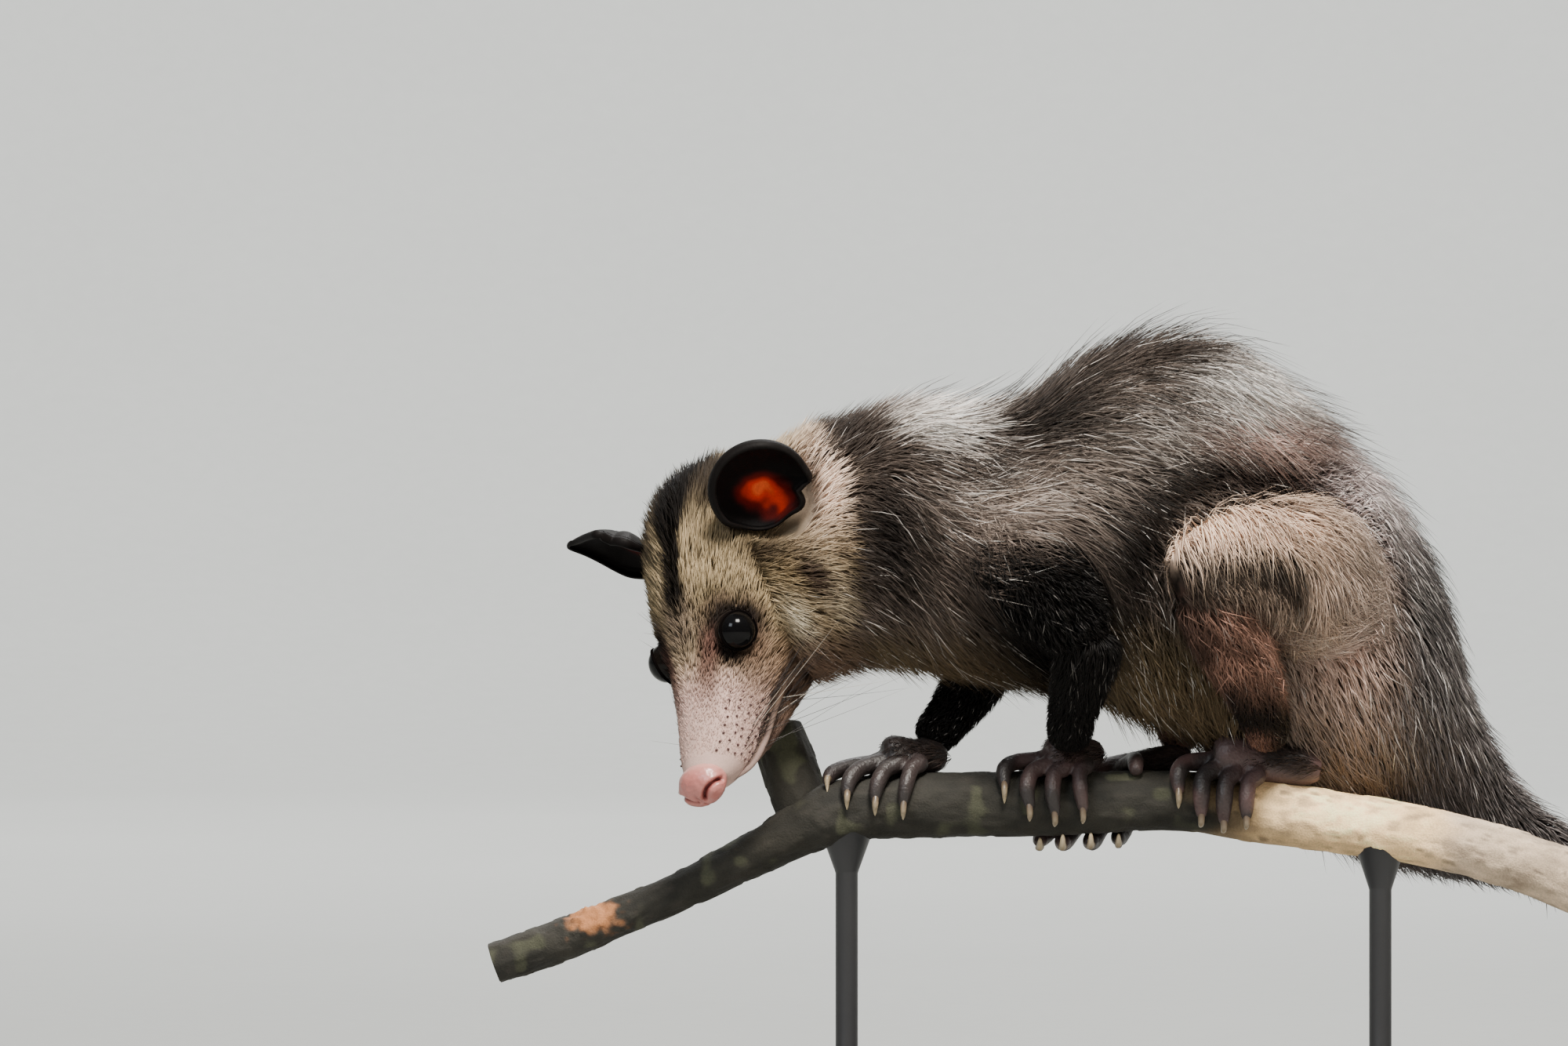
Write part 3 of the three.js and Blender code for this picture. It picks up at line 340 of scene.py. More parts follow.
LIMBS = {
    "thigh_left": [(70, 0, 62, 17, 24, 9), (48, -22, 82, 24, 32, 10), (24, -36, 86, 20, 27, 9),
                   (10, -42, 82, 15, 21, 7)],
    "thigh_right": [(66, 34, 58, 17, 24, 9), (42, 46, 76, 23, 31, 10), (12, 54, 76, 19, 25, 9),
                    (-8, 53, 66, 14, 16, 7)],
    "shank_left": [(14, -41, 74, 12, 14, 5), (24, -38, 58, 12.5, 15.5, 6),
                   (33, -28, 40, 10.5, 12, 5), (38, -14, 25, 7.5, 8, 2)],
    "shank_right": [(-6, 50, 64, 12, 13, 5), (0, 44, 50, 11.5, 13, 5), (6, 32, 35, 9.5, 10.5, 4),
                    (8, 21, 23, 7, 7.5, 2)],
    "upper_arm_left": [(-64, -20, 102, 15, 20, 7), (-52, -31, 88, 18, 23, 8),
                       (-38, -37, 73, 15.5, 20, 7), (-29, -37, 62, 12.5, 15, 6)],
    "upper_arm_right": [(-88, 20, 94, 15, 20, 7), (-80, 29, 80, 17, 21, 8),
                        (-68, 34, 66, 14.5, 18, 7), (-61, 34, 57, 11.5, 13, 6)],
    "forearm_left": [(-27, -36, 58, 11, 13.5, 4), (-29, -30, 46, 10.5, 12, 4),
                     (-32, -19, 33, 8.5, 9.5, 2.5), (-33, -11, 24, 7, 8, 1.5)],
    "forearm_right": [(-60, 33, 53, 11, 12.5, 4), (-66, 27, 43, 10.5, 12, 4),
                      (-75, 17, 31, 8.5, 9.5, 2.5), (-81, 10, 24, 7, 8, 1.5)],
}
LIMBS = {name: limb(stations) for name, stations in LIMBS.items()}

# The head's own axes point to the nose, to the animal's left and up through the brow
HEAD_AT = over_perch([-163.5, -22, 56.6])
NOSE_WARD = unit(np.array([0, -0.447, -0.894]))
LEFT_WARD = unit(np.array([0.68, -0.66, 0.33]))
BROW_WARD = unit(np.cross(NOSE_WARD, LEFT_WARD))
HEAD_AXES = np.stack([NOSE_WARD, LEFT_WARD, BROW_WARD])


def on_head(p):
    """Point given by its places towards the nose, the left and the brow."""
    return HEAD_AT + np.asarray(p, float) @ HEAD_AXES


def head_form(stations):
    """Form through rows of place towards the nose, top, underside, half width, egg and coat."""
    rows = np.asarray(stations, float)
    count = len(rows)
    middle = on_head(np.stack([rows[:, 0], np.zeros(count), (rows[:, 1] + rows[:, 2]) / 2], 1))
    return np.column_stack([
        middle, np.tile(BROW_WARD, (count, 1)), np.tile(LEFT_WARD, (count, 1)),
        rows[:, 3], (rows[:, 1] - rows[:, 2]) / 2, rows[:, 4:6],
    ])


SKULL_ROWS = [
    (-80, -21, -25, 2, 0, 0.6), (-77, -13, -33, 8, 0, 4), (-72, -2, -42, 18, 0, 4),
    (-61, 9, -50, 27, 0, 4), (-46, 15, -56, 33, -0.06, 4), (-30, 16.5, -59, 36, -0.1, 4),
    (-15, 15, -57, 34, -0.12, 3.5), (-5, 12.5, -49, 28, -0.1, 3), (5, 10, -40, 21.5, -0.04, 2),
    (15, 8.2, -31, 17.5, 0, 1), (26, 6.8, -26, 15, 0, 0.6), (38, 6, -21, 13.2, 0, 0.4),
    (47, 5.4, -16, 10.6, 0, 0.2), (52, 4.6, -11, 8, 0, 0),
]
skull = head_form(SKULL_ROWS)
jaw = head_form([
    (-18, -38, -56, 17, 0, 3), (-2, -31, -49, 14.5, 0, 2.5), (12, -26, -41.5, 11.5, 0, 1.5),
    (24, -22, -34.5, 9, 0, 0.8), (34, -19, -28.5, 6.8, 0, 0.4), (38.5, -19, -25, 3.6, 0, 0.2),
])

# fills the hollow between the back of the turned head and the far side of the neck
nape = limb([(-150, 12, 82, 31, 33, 5), (-136, 9, 88, 33.5, 40, 7), (-122, 4, 92, 35.5, 45, 9),
             (-106, 0, 96, 38.5, 48.5, 12)])

# an ear's half width and height, and how far its middle is above its root as a share of the
# latter; then for each ear its root, the way to its tip, the way that its mouth faces, the depth
# of its bowl and the slimness of its tip
EAR_HALF = (17.6, 18.0)
EAR_RISE = 0.94
EARS = {
    "ear_left": (on_head((-42, 26, -4)) + (2.5, -6, -3.5), (-0.16, -0.34, 0.93), (0.06, -1, -0.3),
                 8.0, 0.0),
    "ear_right": (on_head((-44, -25, 2)) + (2.5, -1, -0.5), (-0.9, 0.4, 0.2), (-0.27, -0.3, -0.9),
                  6.5, 1.0),
}


def ear_axes(rise, opens):
    """An ear's own axes: up to its tip, out of its mouth, and across."""
    up = unit(np.asarray(rise, float))
    out = unit(np.asarray(opens, float) - up * (up @ np.asarray(opens, float)))
    return up, out, np.cross(up, out)


def ear_mouth(points):
    """How far points lie from the left ear's axis, as a share of its rim's, how far out along
    the axis from the bottom of its bowl, and the way out."""
    root, rise, opens, bowl, _ = EARS["ear_left"]
    up, out, side = ear_axes(rise, opens)
    off = points - root - up * EAR_HALF[1] * EAR_RISE
    return np.hypot(off @ side / EAR_HALF[0], off @ up / EAR_HALF[1]), off @ out + bowl, out


def in_ear(points):
    """Whether points lie in the mouth of the left ear, where no hair may grow."""
    wide, depth, _ = ear_mouth(points)
    return (wide < 0.93) & (depth > -2) & (depth < 25)


def behind_ear(points):
    """Points pressed back behind the left ear's bowl, and less so outside its rim: no further
    out than 2 mm behind the bowl's bottom plus a slope that starts near the rim."""
    wide, depth, out = ear_mouth(points)
    most = -2.0 + 34 * np.maximum(wide - 0.86, 0)
    return points - out * np.where(depth < 25, np.maximum(depth - most, 0), 0)[:, None]


print("forms", 4 + len(LIMBS))

# %% [markdown]
# ## Markings
# Skin and coat carry the same markings, so one set of functions gives the colour at any point.
# They are soft patches laid out in the side view: white hair on the shoulder and the rump, whiter
# there by painted sunlight, a dark band behind the shoulder, a tan belly, black forelegs, and a
# painted shadow along the thigh's upper edge. The face has a black stripe up the forehead, a dark
# ring round each eye, cream cheeks with a brown spot, and a bare pinkish snout; painted shade
# darkens the far side of the crown and the underside of the jaw.

# %% Markings
CREAM = (0.32, 0.243, 0.143)
SUNLIT_PALE_PINK = (0.97, 0.74, 0.60)
SILVER = (0.95, 0.88, 0.82)
TAN = (0.70, 0.51, 0.385)
OLIVE = (0.16, 0.115, 0.065)
BROWN = np.array((0.20, 0.152, 0.125))
RED_BROWN = np.array((0.27, 0.145, 0.105))
DARK = (0.014, 0.0095, 0.0075)
BLACK = (0.0055, 0.0042, 0.0036)
SNOUT = (0.53, 0.365, 0.315)
NECK_EDGE = -106.0

# soft patches of colour, blended in turn: colour, share, middle in x and z, radii, lean
BODY_PATCHES = [
    ((0.36, 0.30, 0.26), 0.85, (-8, 124), (38, 22), 0),
    ((0.50, 0.40, 0.34), 0.9, (-50, 110), (32, 13), 0),
    ((0.86, 0.73, 0.72), 0.92, (72, 106), (20, 24), 0),
    ((0.80, 0.57, 0.47), 0.9, (66, 56), (18, 27), 0),
    ((0.86, 0.56, 0.47), 0.9, (38, 129), (19, 11), 0),
]
FACE_PATCHES = [
    ((0.60, 0.49, 0.34), 0.85, (-116, 74), (8, 13), 0.5),
    ((0.26, 0.18, 0.09), 0.8, (-133, 82), (11, 13), 0),
    # painted shade on the brow over the eye
    ((0.12, 0.09, 0.048), 0.8, (-160, 72), (7, 7), 0),
    ((0.80, 0.70, 0.52), 0.95, (-128.6, 65), (4.5, 9), 0.4),
    ((0.035, 0.021, 0.011), 0.9, (-141, 91), (10, 6.5), 0),
]

# sums of soft patches: weight, middle in x and z, radii
DARK_MARKS = [
    [(0.95, (-98, 96), (13, 30)), (0.6, (-12, 80), (12, 22))],
    [(0.85, (-42, 139), (20, 12)), (0.7, (-61, 118), (7, 6))],
    [(0.85, (-112, 134), (15, 13)), (0.55, (-10, 168), (36, 11))],
]
BELLY_MARKS = [(0.7, (-70, 50), (16, 10)), (0.6, (10, 32), (18, 14))]
# white hair; the two strongest patches, on the shoulder and the rump, are also painted sunlight
WHITE_AND_SUNLIT_MARKS = [
    (1.15, (-76, 138), (19, 13)), (1.35, (35, 148), (22, 13)), (0.3, (0, 130), (34, 22)),
    (-0.35, (-40, 140), (18, 12)), (-0.4, (-108, 124), (12, 16)), (0.3, (72, 106), (20, 24)),
    (0.3, (-50, 108), (32, 12)),
]
BLACK_MARKS = [
    (-0.5, (-50, 106), (32, 14)), (-0.5, (38, 128), (19, 12)), (-0.5, (68, 74), (22, 44)),
    (-0.25, (-8, 122), (38, 22)), (0.5, (-42, 139), (22, 15)), (0.4, (-98, 96), (14, 30)),
]


def patched(tone, x, z, patches):
    """Colour after a row of patches, each blended in by share * blob(x + lean * (z - middle z))."""
    for colour, share, middle, radii, lean in patches:
        tone = blend(tone, colour, share * blob(x + lean * (z - middle[1]), z, middle, radii))
    return tone


def marked(x, z, marks):
    """Sum of weight * blob over rows of marks."""
    return sum(weight * blob(x, z, middle, radii) for weight, middle, radii in marks)


def neck_edge(z):
    """Place along the animal where the face's colour ends: 15 mm further ahead on the nape."""
    return NECK_EDGE - 15 * soft_step(112, 138, z)


def body_tone(points):
    """Colour of the coat's body at points, blended patch by patch, and the share of white hair
    and of black hair there. Ahead of the neck's edge it turns into the colour of the face."""
    x, z = points[:, 0], points[:, 2] - PERCH_HEIGHT
    wobble = lumps(points, 14.0, 3)
    tone = patched(BROWN * (1 + 0.3 * wobble[:, None]), x, z, BODY_PATCHES)
    for marks in DARK_MARKS:
        tone = blend(tone, DARK, marked(x, z, marks))
    rear = 0.85 * soft_step(74, 96, x) * soft_step(118, 90, z)
    tone = blend(tone, (0.12, 0.108, 0.108), rear)
    tone = blend(tone, OLIVE, soft_step(74, 50, z + 6 * wobble) * soft_step(50, 22, x))
    tone = blend(tone, (0.17, 0.115, 0.065), marked(x, z, BELLY_MARKS))
    elbow = 1.5 * blob(x + 4 * wobble, z, (-42, 66), (22, 22))
    tone = blend(tone, BLACK, np.clip(elbow, 0, 0.96))
    # painted shadow: a dark ring along the thigh's upper edge, where the flank's hair shades it,
    # with less white and more black in the hair ends there
    ring = np.abs(np.hypot((x - 26) / 38, (z - 86) / 33) - 1)
    thigh_edge_shadow = soft_step(0.3, 0.05, ring) * soft_step(72, 90, z) * soft_step(66, 44, x)
    tone = blend(tone, DARK, 0.8 * thigh_edge_shadow)
    # share of white hair, raised on the shoulder and the rump by painted sunlight
    white = marked(x, z, WHITE_AND_SUNLIT_MARKS) + 0.2 * soft_step(62, 95, x) * soft_step(10, 40, z)
    white = np.clip(white - 0.3 * thigh_edge_shadow + 0.16 * lumps(points, 9.0, 5), 0, 1)
    black = 0.5 + 0.5 * soft_step(146, 160, z) + marked(x, z, BLACK_MARKS) + 0.3 * thigh_edge_shadow
    black = np.clip(black - 0.5 * soft_step(74, 50, z), 0, 1) * (1 - 0.8 * white)
    tone = blend(tone, SILVER, np.clip(1.35 * white - 0.35, 0, 0.95))
    ahead = soft_step(5, -5, x - neck_edge(z) + 4 * wobble)
    return blend(tone, face_tone(points), ahead), white * (1 - ahead), black * (1 - ahead)


def thigh_tone(points, x, z, wobble):
    """Colour of a thigh's coat: tan, cream along its top as painted sunlight, and dark in the
    fold before the knee as painted shade.
    """
    tone = blend(TAN, (0.52, 0.40, 0.33), soft_step(44, 70, x + 6 * wobble))
    tone = tone * (1 + 0.35 * lumps(points, 5.0, 19))[:, None]
    # painted sunlight: a cream pool along the thigh's top
    tone = blend(tone, (0.95, 0.70, 0.53), 0.97 * blob(x, z, (17, 104), (19, 13)))
    # painted shade in the fold before the knee
    fold = np.abs(np.hypot((x - 27) / 27, (z - 66) / 22) - 1 + 0.08 * wobble)
    fold = 0.95 * soft_step(0.45, 0.12, fold) * soft_step(56, 44, x) * soft_step(58, 66, z)
    tone = blend(tone, DARK, fold)
    knee = 0.9 * soft_step(82, 74, z + 5 * wobble) * soft_step(46, 34, x)
    tone = blend(tone, (0.06, 0.033, 0.025), knee)
    tone = patched(tone, x, z, [((0.62, 0.50, 0.40), 0.8, (50, 60), (5, 10), 0.6)])
    reach = 1.5 + 15 * soft_step(18, 50, x)
    near_body = soft_step(1, 0.2, (clearance(trunk, points) + 2 * wobble) / reach)
    return blend(tone, body_tone(points)[0], near_body)


def limb_tone(name, points):
    """Colour of a limb's coat: black arms, a tan thigh and a red-brown shank. Where a limb leaves
    the body, it takes the body's colour."""
    x, z = points[:, 0], points[:, 2] - PERCH_HEIGHT
    wobble = lumps(points, 8.0, 7)
    if "arm" in name:
        share = soft_step(86, 100, z + 6 * wobble) if "upper" in name else 0 * z
        return blend(BLACK, body_tone(points)[0], 0.9 * share)
    if "thigh" in name:
        return thigh_tone(points, x, z, wobble)
    tone = RED_BROWN * (1 + 0.7 * lumps(points, 3.5, 23))[:, None]
    # the shank darkens low on the leg and where it runs under the thigh, partly painted shade
    tone = blend(tone, DARK, soft_step(48, 34, z + 5 * wobble))
    tone = blend(tone, DARK, 0.85 * soft_step(70, 78, z + 5 * wobble) + 0.7 * soft_step(20, 12, x))
    return blend(tone, (0.30, 0.155, 0.115), 0.8 * soft_step(29, 24, z) * soft_step(42, 33, x))


def face_tone(points):
    """Colour of the head. Both sides carry the marks of the left one, so a point is first
    mirrored to the left, and its place in the side view is compared with each mark. Only the
    upper back of the head is darker on the right side, as painted shade."""
    own = (points - HEAD_AT) @ HEAD_AXES.T
    f, l, u = own[:, 0], np.abs(own[:, 1]), own[:, 2]
    mirrored = np.stack([f, l, u], 1)
    flat = on_head(mirrored)
    x, z = flat[:, 0], flat[:, 2] - PERCH_HEIGHT
    wobble = lumps(mirrored, 5.0, 11)
    # fur from the cheeks to the neck
    tone = np.array(CREAM) * (1 + 0.12 * wobble[:, None])
    tone = blend(tone, (0.25, 0.17, 0.085), 0.8 * soft_step(-8, -24, u + 2 * wobble))
    # olive towards the underside, partly painted shade under the jaw and throat
    tone = blend(tone, OLIVE, 0.85 * soft_step(-20, -36, u + 3 * wobble + 0.12 * f))
    tone = patched(tone, x, z, FACE_PATCHES)
    spot = np.clip(1.5 * blob(x + 0.5 * (z - 81), z, (-123, 81), (5, 7.5)), 0, 1)
    tone = blend(tone, (0.03, 0.015, 0.009), 0.97 * spot)
    # pale pink fur behind the ear, brightened further as painted sunlight
    tone = blend(tone, SUNLIT_PALE_PINK, blob(x, z, (-119, 118), (13, 19)))
    tone = blend(tone, DARK, 0.97 * soft_step(-8, -1, x - neck_edge(z) + 4 * wobble))
    crown = soft_step(-33, -50, f + 4 * wobble) * soft_step(-6, 6, u) * soft_step(-120, -130, x)
    # painted shade: the upper back of the head on its right side is darkened, unlike the left
    right = soft_step(-20, -40, f + 4 * wobble) * soft_step(-4, -10, own[:, 1])
    right = right * soft_step(-14, 2, u)
    tone = blend(tone, (0.013, 0.009, 0.007), 0.95 * np.maximum(crown, 0.8 * right))
    # snout, and the chin darkened as painted shade under the jaw
    tone = blend(tone, SNOUT, soft_step(2, 24, f + 1.5 * wobble) * soft_step(-27, -19, u))
    tone = blend(tone, (0.13, 0.08, 0.07), 0.85 * soft_step(-4, 8, f) * soft_step(-21, -25, u))
    # rings round the eyes, and the marks before, under and between them
    away = np.stack([(f - 0.5) / 12.5, (l - 17.5) / 12.5, (u - 0.5) / 12.5])
    around = np.sqrt((away**2).sum(0)) + 0.10 * wobble
    tone = blend(tone, (0.11, 0.075, 0.05), 0.85 * soft_step(1.35, 0.9, around))
    tone = blend(tone, (0.009, 0.006, 0.005), 0.97 * soft_step(0.98, 0.70, around))
    streak = soft_step(5.0, 1.2, np.abs(l - 10 + 0.12 * f)) * soft_step(-4, 6, f)
    streak = streak * soft_step(34, 10, f) * soft_step(-6, 2, u)
    tone = blend(tone, (0.13, 0.065, 0.05), 0.85 * streak)
    under_eye = soft_step(32, 8, f) * soft_step(-6, 6, f) * soft_step(0, -10, u)
    tone = blend(tone, (0.19, 0.12, 0.08), 0.8 * under_eye)
    brows = soft_step(11, 3, l) * soft_step(-22, -8, f) * soft_step(14, 0, f)
    tone = blend(tone, (0.13, 0.095, 0.07), 0.85 * brows * soft_step(-4, 4, u))
    # stripe up the forehead, and a dark line along the lip, painted shade in the slit of the mouth
    width = 3.6 + 3.4 * soft_step(-14, -60, f)
    stripe = soft_step(width + 1.8, width - 1.4, l + 0.9 * wobble)
    stripe = stripe * soft_step(-4, -14, f) * soft_step(-20, -4, u)
    tone = blend(tone, (0.004, 0.0028, 0.0022), 0.99 * stripe)
    lip = soft_step(2.6, 0.8, np.abs(u + 25 - 0.2 * f)) * soft_step(38, 30, f) * soft_step(2, 10, f)
    return blend(tone, (0.05, 0.03, 0.025), 0.75 * lip)


print("body", np.round(body_tone(trunk[:, :3])[0][:3], 2).tolist())

# %% [markdown]
# ## Materials
# Most finishes take their colour from a value stored at each point of the mesh, because the
# markings are worked out there. One shared group then varies that colour a little and gives the
# height of a fine grain, so no surface is flat. Gloss stays on each material's own shader.


# %% Materials
def node(tree, kind, operation=None, **values):
    """New shader node in a tree, with its operation and the values of its sockets."""
    made = tree.nodes.new("ShaderNode" + kind)
    if operation:
        made.operation = operation
    for socket, value in values.items():
        made.inputs[socket.replace("_", " ")].default_value = value
    return made


def tone_group():
    """Group that varies a colour by two sizes of noise and puts out the finer one as a height."""
    group = bpy.data.node_groups.new("tone and grain", "ShaderNodeTree")
    for socket, kind, way in (("Color", "Color", "INPUT"), ("Patch scale", "Float", "INPUT"),
                              ("Grain scale", "Float", "INPUT"), ("Strength", "Float", "INPUT"),
                              ("Color", "Color", "OUTPUT"), ("Height", "Float", "OUTPUT")):
        group.interface.new_socket(socket, in_out=way, socket_type="NodeSocket" + kind)
    links = group.links
    given, out = group.nodes.new("NodeGroupInput"), group.nodes.new("NodeGroupOutput")
    place = node(group, "TexCoord")
    total = node(group, "Math", "ADD")
    for slot, name in enumerate(("Patch scale", "Grain scale")):
        noise = node(group, "TexNoise", Detail=3.0)
        links.new(place.outputs["Object"], noise.inputs["Vector"])
        links.new(given.outputs[name], noise.inputs["Scale"])
        links.new(noise.outputs["Fac"], total.inputs[slot])
    share = node(group, "MapRange", From_Min=0.6, From_Max=1.4)
    links.new(total.outputs[0], share.inputs["Value"])
    for operation, socket in (("SUBTRACT", "To Min"), ("ADD", "To Max")):
        end = node(group, "Math", operation, Value=1.0)
        links.new(given.outputs["Strength"], end.inputs[1])
        links.new(end.outputs[0], share.inputs[socket])
    tint = node(group, "VectorMath", "SCALE")
    links.new(given.outputs["Color"], tint.inputs[0])
    links.new(share.outputs["Result"], tint.inputs["Scale"])
    links.new(tint.outputs[0], out.inputs["Color"])
    links.new(noise.outputs["Fac"], out.inputs["Height"])
    return group


TONE_GROUP = tone_group()


def finish_of(name, roughness, patch=120.0, grain=2500.0, strength=0.2, bump=0.15, depth=0.0003,
              colour=None, **own):
    """Material whose colour is the point colour, or a plain one, varied by the shared group, and
    whose grain bumps the surface. Further words set the shader's own sockets."""
    material = bpy.data.materials.new(name)
    material.use_nodes = True
    tree, links = material.node_tree, material.node_tree.links
    shader = tree.nodes["Principled BSDF"]
    shader.inputs["Roughness"].default_value = roughness
    for socket, value in own.items():
        shader.inputs[socket.replace("_", " ")].default_value = value
    vary = node(tree, "Group")
    vary.node_tree = TONE_GROUP
    for socket, value in (("Patch scale", patch), ("Grain scale", grain), ("Strength", strength)):
        vary.inputs[socket].default_value = value
    if colour is None:
        source = node(tree, "Attribute")
        source.attribute_name = "coat"
        links.new(source.outputs["Color"], vary.inputs["Color"])
    else:
        vary.inputs["Color"].default_value = (*colour, 1.0)
    links.new(vary.outputs["Color"], shader.inputs["Base Color"])
    if bump:
        raise_it = node(tree, "Bump", Strength=bump, Distance=depth)
        links.new(vary.outputs["Height"], raise_it.inputs["Height"])
        links.new(raise_it.outputs["Normal"], shader.inputs["Normal"])
    return material


hair_finish = finish_of("coat hair", 0.55, strength=0.12, bump=0, Specular_IOR_Level=0.2)
face_hair_finish = finish_of("face hair", 0.6, strength=0.12, bump=0, Specular_IOR_Level=0.08)
skin_finish = finish_of("skin under the coat", 0.75, grain=1800.0, strength=0.15, bump=0.5,
                        Specular_IOR_Level=0.12)
lid_finish = finish_of("black lids", 0.8, strength=0.1, bump=0, Specular_IOR_Level=0.0)
print("materials", len(bpy.data.materials))

# %% [markdown]
# ## Skin
# One skin runs from the nose to the tail under the coat. Each form gives a closed shell at the
# depth of its coat, and a voxel remesh fuses the shells where they overlap, so neither the
# shoulders nor the throat shows a seam. The head is fused with smaller voxels, because its lids
# and lips are finer, and its neck end lies deep in the body's skin.


# %% Skin
def form_shell(form, rings, sides):
    """Closed shell of a form at the coat's depth below the tips."""
    t, angle = round_grid(np.linspace(0, len(form) - 1, rings), sides)
    return closed_grid(form_point(form, t, angle, coat_depth(form, t)))


def ball_shell(middle, radii, rings=16, sides=24):
    """Closed ball: rings of cos and sin of the height's angle."""
    v, angle = round_grid(np.linspace(0.02, np.pi - 0.02, rings), sides)
    p = np.stack([np.cos(v), np.sin(v) * np.cos(angle), np.sin(v) * np.sin(angle)], -1)
    return closed_grid(np.asarray(middle) + p * np.asarray(radii, float))


def line_frames(rows, t, lean):
    """Middle and radius at places along a smooth line, and its side and up directions. The side
    is the cross of the line's own way with a direction that it never takes."""
    h = 0.02
    ahead = unit(smooth_rows(rows, t + h)[:, :3] - smooth_rows(rows, t - h)[:, :3])
    side = unit(np.cross(ahead, lean))
    return smooth_rows(rows, t), side, np.cross(side, ahead)


def along_line(points):
    """Length of the line up to each of its points."""
    return np.append(0, np.cumsum(np.linalg.norm(np.diff(points, axis=0), axis=1)))


def tube_rings(points, radii, sides=12, steps=6, flat=1.0):
    """Rings of a round tube along a smooth line, flattened upwards by a share: middle + radius *
    (side * cos + up * flat * sin)."""
    rows = np.column_stack([points, radii])
    t = np.linspace(0, len(rows) - 1, (len(rows) - 1) * steps + 1)
    line, side, up = line_frames(rows, t, (0.13, 0.99, 0.05))
    angle = np.arange(sides) * TURN / sides
    ring = side[:, None] * np.cos(angle)[:, None] + up[:, None] * (flat * np.sin(angle))[:, None]
    return line[:, None, :3] + ring * line[:, None, 3:4]


def fused(shells, voxel, rounds):
    """Points and faces of shells made one by a voxel remesh. Then each point moves part of the
    way to the middle of its neighbours, out and back in turn, so that steps go and size stays."""
    piece = mesh_piece("shells", gather(shells))
    remesh = piece.modifiers.new("fuse", "REMESH")
    remesh.mode = "VOXEL"
    remesh.voxel_size = voxel * MM
    graph = bpy.context.evaluated_depsgraph_get()
    solid = bpy.data.meshes.new_from_object(piece.evaluated_get(graph))

    def read(items, field, width, kind):
        values = np.empty(len(items) * width, kind)
        items.foreach_get(field, values)
        return values

    points = read(solid.vertices, "co", 3, np.float32).reshape(-1, 3).astype(float) / MM
    corners = read(solid.loops, "vertex_index", 1, np.int32)
    starts = read(solid.polygons, "loop_start", 1, np.int32)
    sizes = np.diff(np.append(starts, len(corners)))
    polygons = [corners[starts[sizes == n][:, None] + np.arange(n)] for n in (3, 4) if n in sizes]
    a, b = read(solid.edges, "vertices", 2, np.int32).reshape(-1, 2).T
    weight = np.bincount(a, minlength=len(points)) + np.bincount(b, minlength=len(points))
    for share in (0.6, -0.58) * rounds:
        mean = np.stack([
            np.bincount(a, points[b, n], len(points)) + np.bincount(b, points[a, n], len(points))
            for n in range(3)
        ], 1) / np.maximum(weight, 1)[:, None]
        points = points + share * (mean - points)
    bpy.data.objects.remove(piece)
    bpy.data.meshes.remove(solid)
    return points, polygons


EYE_RADIUS = 7.2
EYE_SPREAD = 17.8
SLIT = (7.0, 6.85)
body_shells = [form_shell(trunk, 130, 64), form_shell(nape, 70, 56)]
body_shells += [form_shell(form, 50, 36) for form in LIMBS.values()]
body_skin = fused(body_shells, 2.0, 4)
body_skin = (behind_ear(body_skin[0]), body_skin[1])


def gaze(sign):
    """Way that an eye looks, and the slit's long and short directions across it."""
    out = unit(np.array([0.34, 0.86 * sign, 0.36]) @ HEAD_AXES)
    along = unit(NOSE_WARD - out * (out @ NOSE_WARD))
    return out, along, np.cross(out, along)


def eye_middle(sign):
    """Middle of the left eye for 1, of the right one for -1."""
    return on_head((0, sign * EYE_SPREAD, 0))


head_shells = [form_shell(skull, 90, 72), form_shell(jaw, 50, 40)]
head_shells += [
    ball_shell(eye_middle(s) - 1.4 * gaze(s)[0], [EYE_RADIUS + 0.3] * 3) for s in (1, -1)
]
head_points, head_polygons = fused(head_shells, 0.95, 3)
head_points = behind_ear(head_points)
for sign in (1, -1):
    out, along, across = gaze(sign)
    off = head_points - eye_middle(sign)
    wide = np.hypot(off @ along / SLIT[0], off @ across / SLIT[1])
    sunk = soft_step(1.1, 0.85, wide) * (off @ out > 0) * (np.linalg.norm(off, axis=1) < 10)
    head_points = head_points - off * (0.3 * sunk)[:, None]


def lid_rim(sign):
    """Rim of the lids: a thin tube round the slit, which is a slightly pointed oval on a ball a
    little larger than the eye."""
    count, sides = 72, 10
    out, along, across = gaze(sign)
    angle = np.arange(count) * TURN / count
    x = SLIT[0] * 1.01 * np.cos(angle)
    y = SLIT[1] * 1.01 * np.sin(angle) * (1 - 0.06 * np.cos(angle) ** 2)
    depth = np.sqrt((EYE_RADIUS + 0.3) ** 2 - x**2 - y**2)
    middle = x[:, None] * along + y[:, None] * across + depth[:, None] * out
    ahead = unit(np.roll(middle, -1, 0) - np.roll(middle, 1, 0))
    normal = unit(middle)
    side = np.cross(ahead, normal)
    turn = (np.arange(sides) * TURN / sides)[:, None]
    ring = side[:, None] * np.cos(turn) * 0.42 + normal[:, None] * np.sin(turn) * 0.32
    points = (eye_middle(sign) + middle[:, None] + ring).reshape(-1, 3)
    return points, [ring_quads(count, sides)]


def lip(sign):
    """Edge of the upper lip: a slim tube from beside the nose to the corner of the mouth."""
    line = np.array([(50, 5, -10.6), (44, 8.6, -16.2), (34, 11, -20.4), (22, 13, -23.4),
                     (11, 15, -26.4), (2, 17, -28.6)])
    return closed_grid(tube_rings(on_head(line * (1, sign, 1)), [0.7, 1.0, 1.1, 1.0, 0.8, 0.4]))


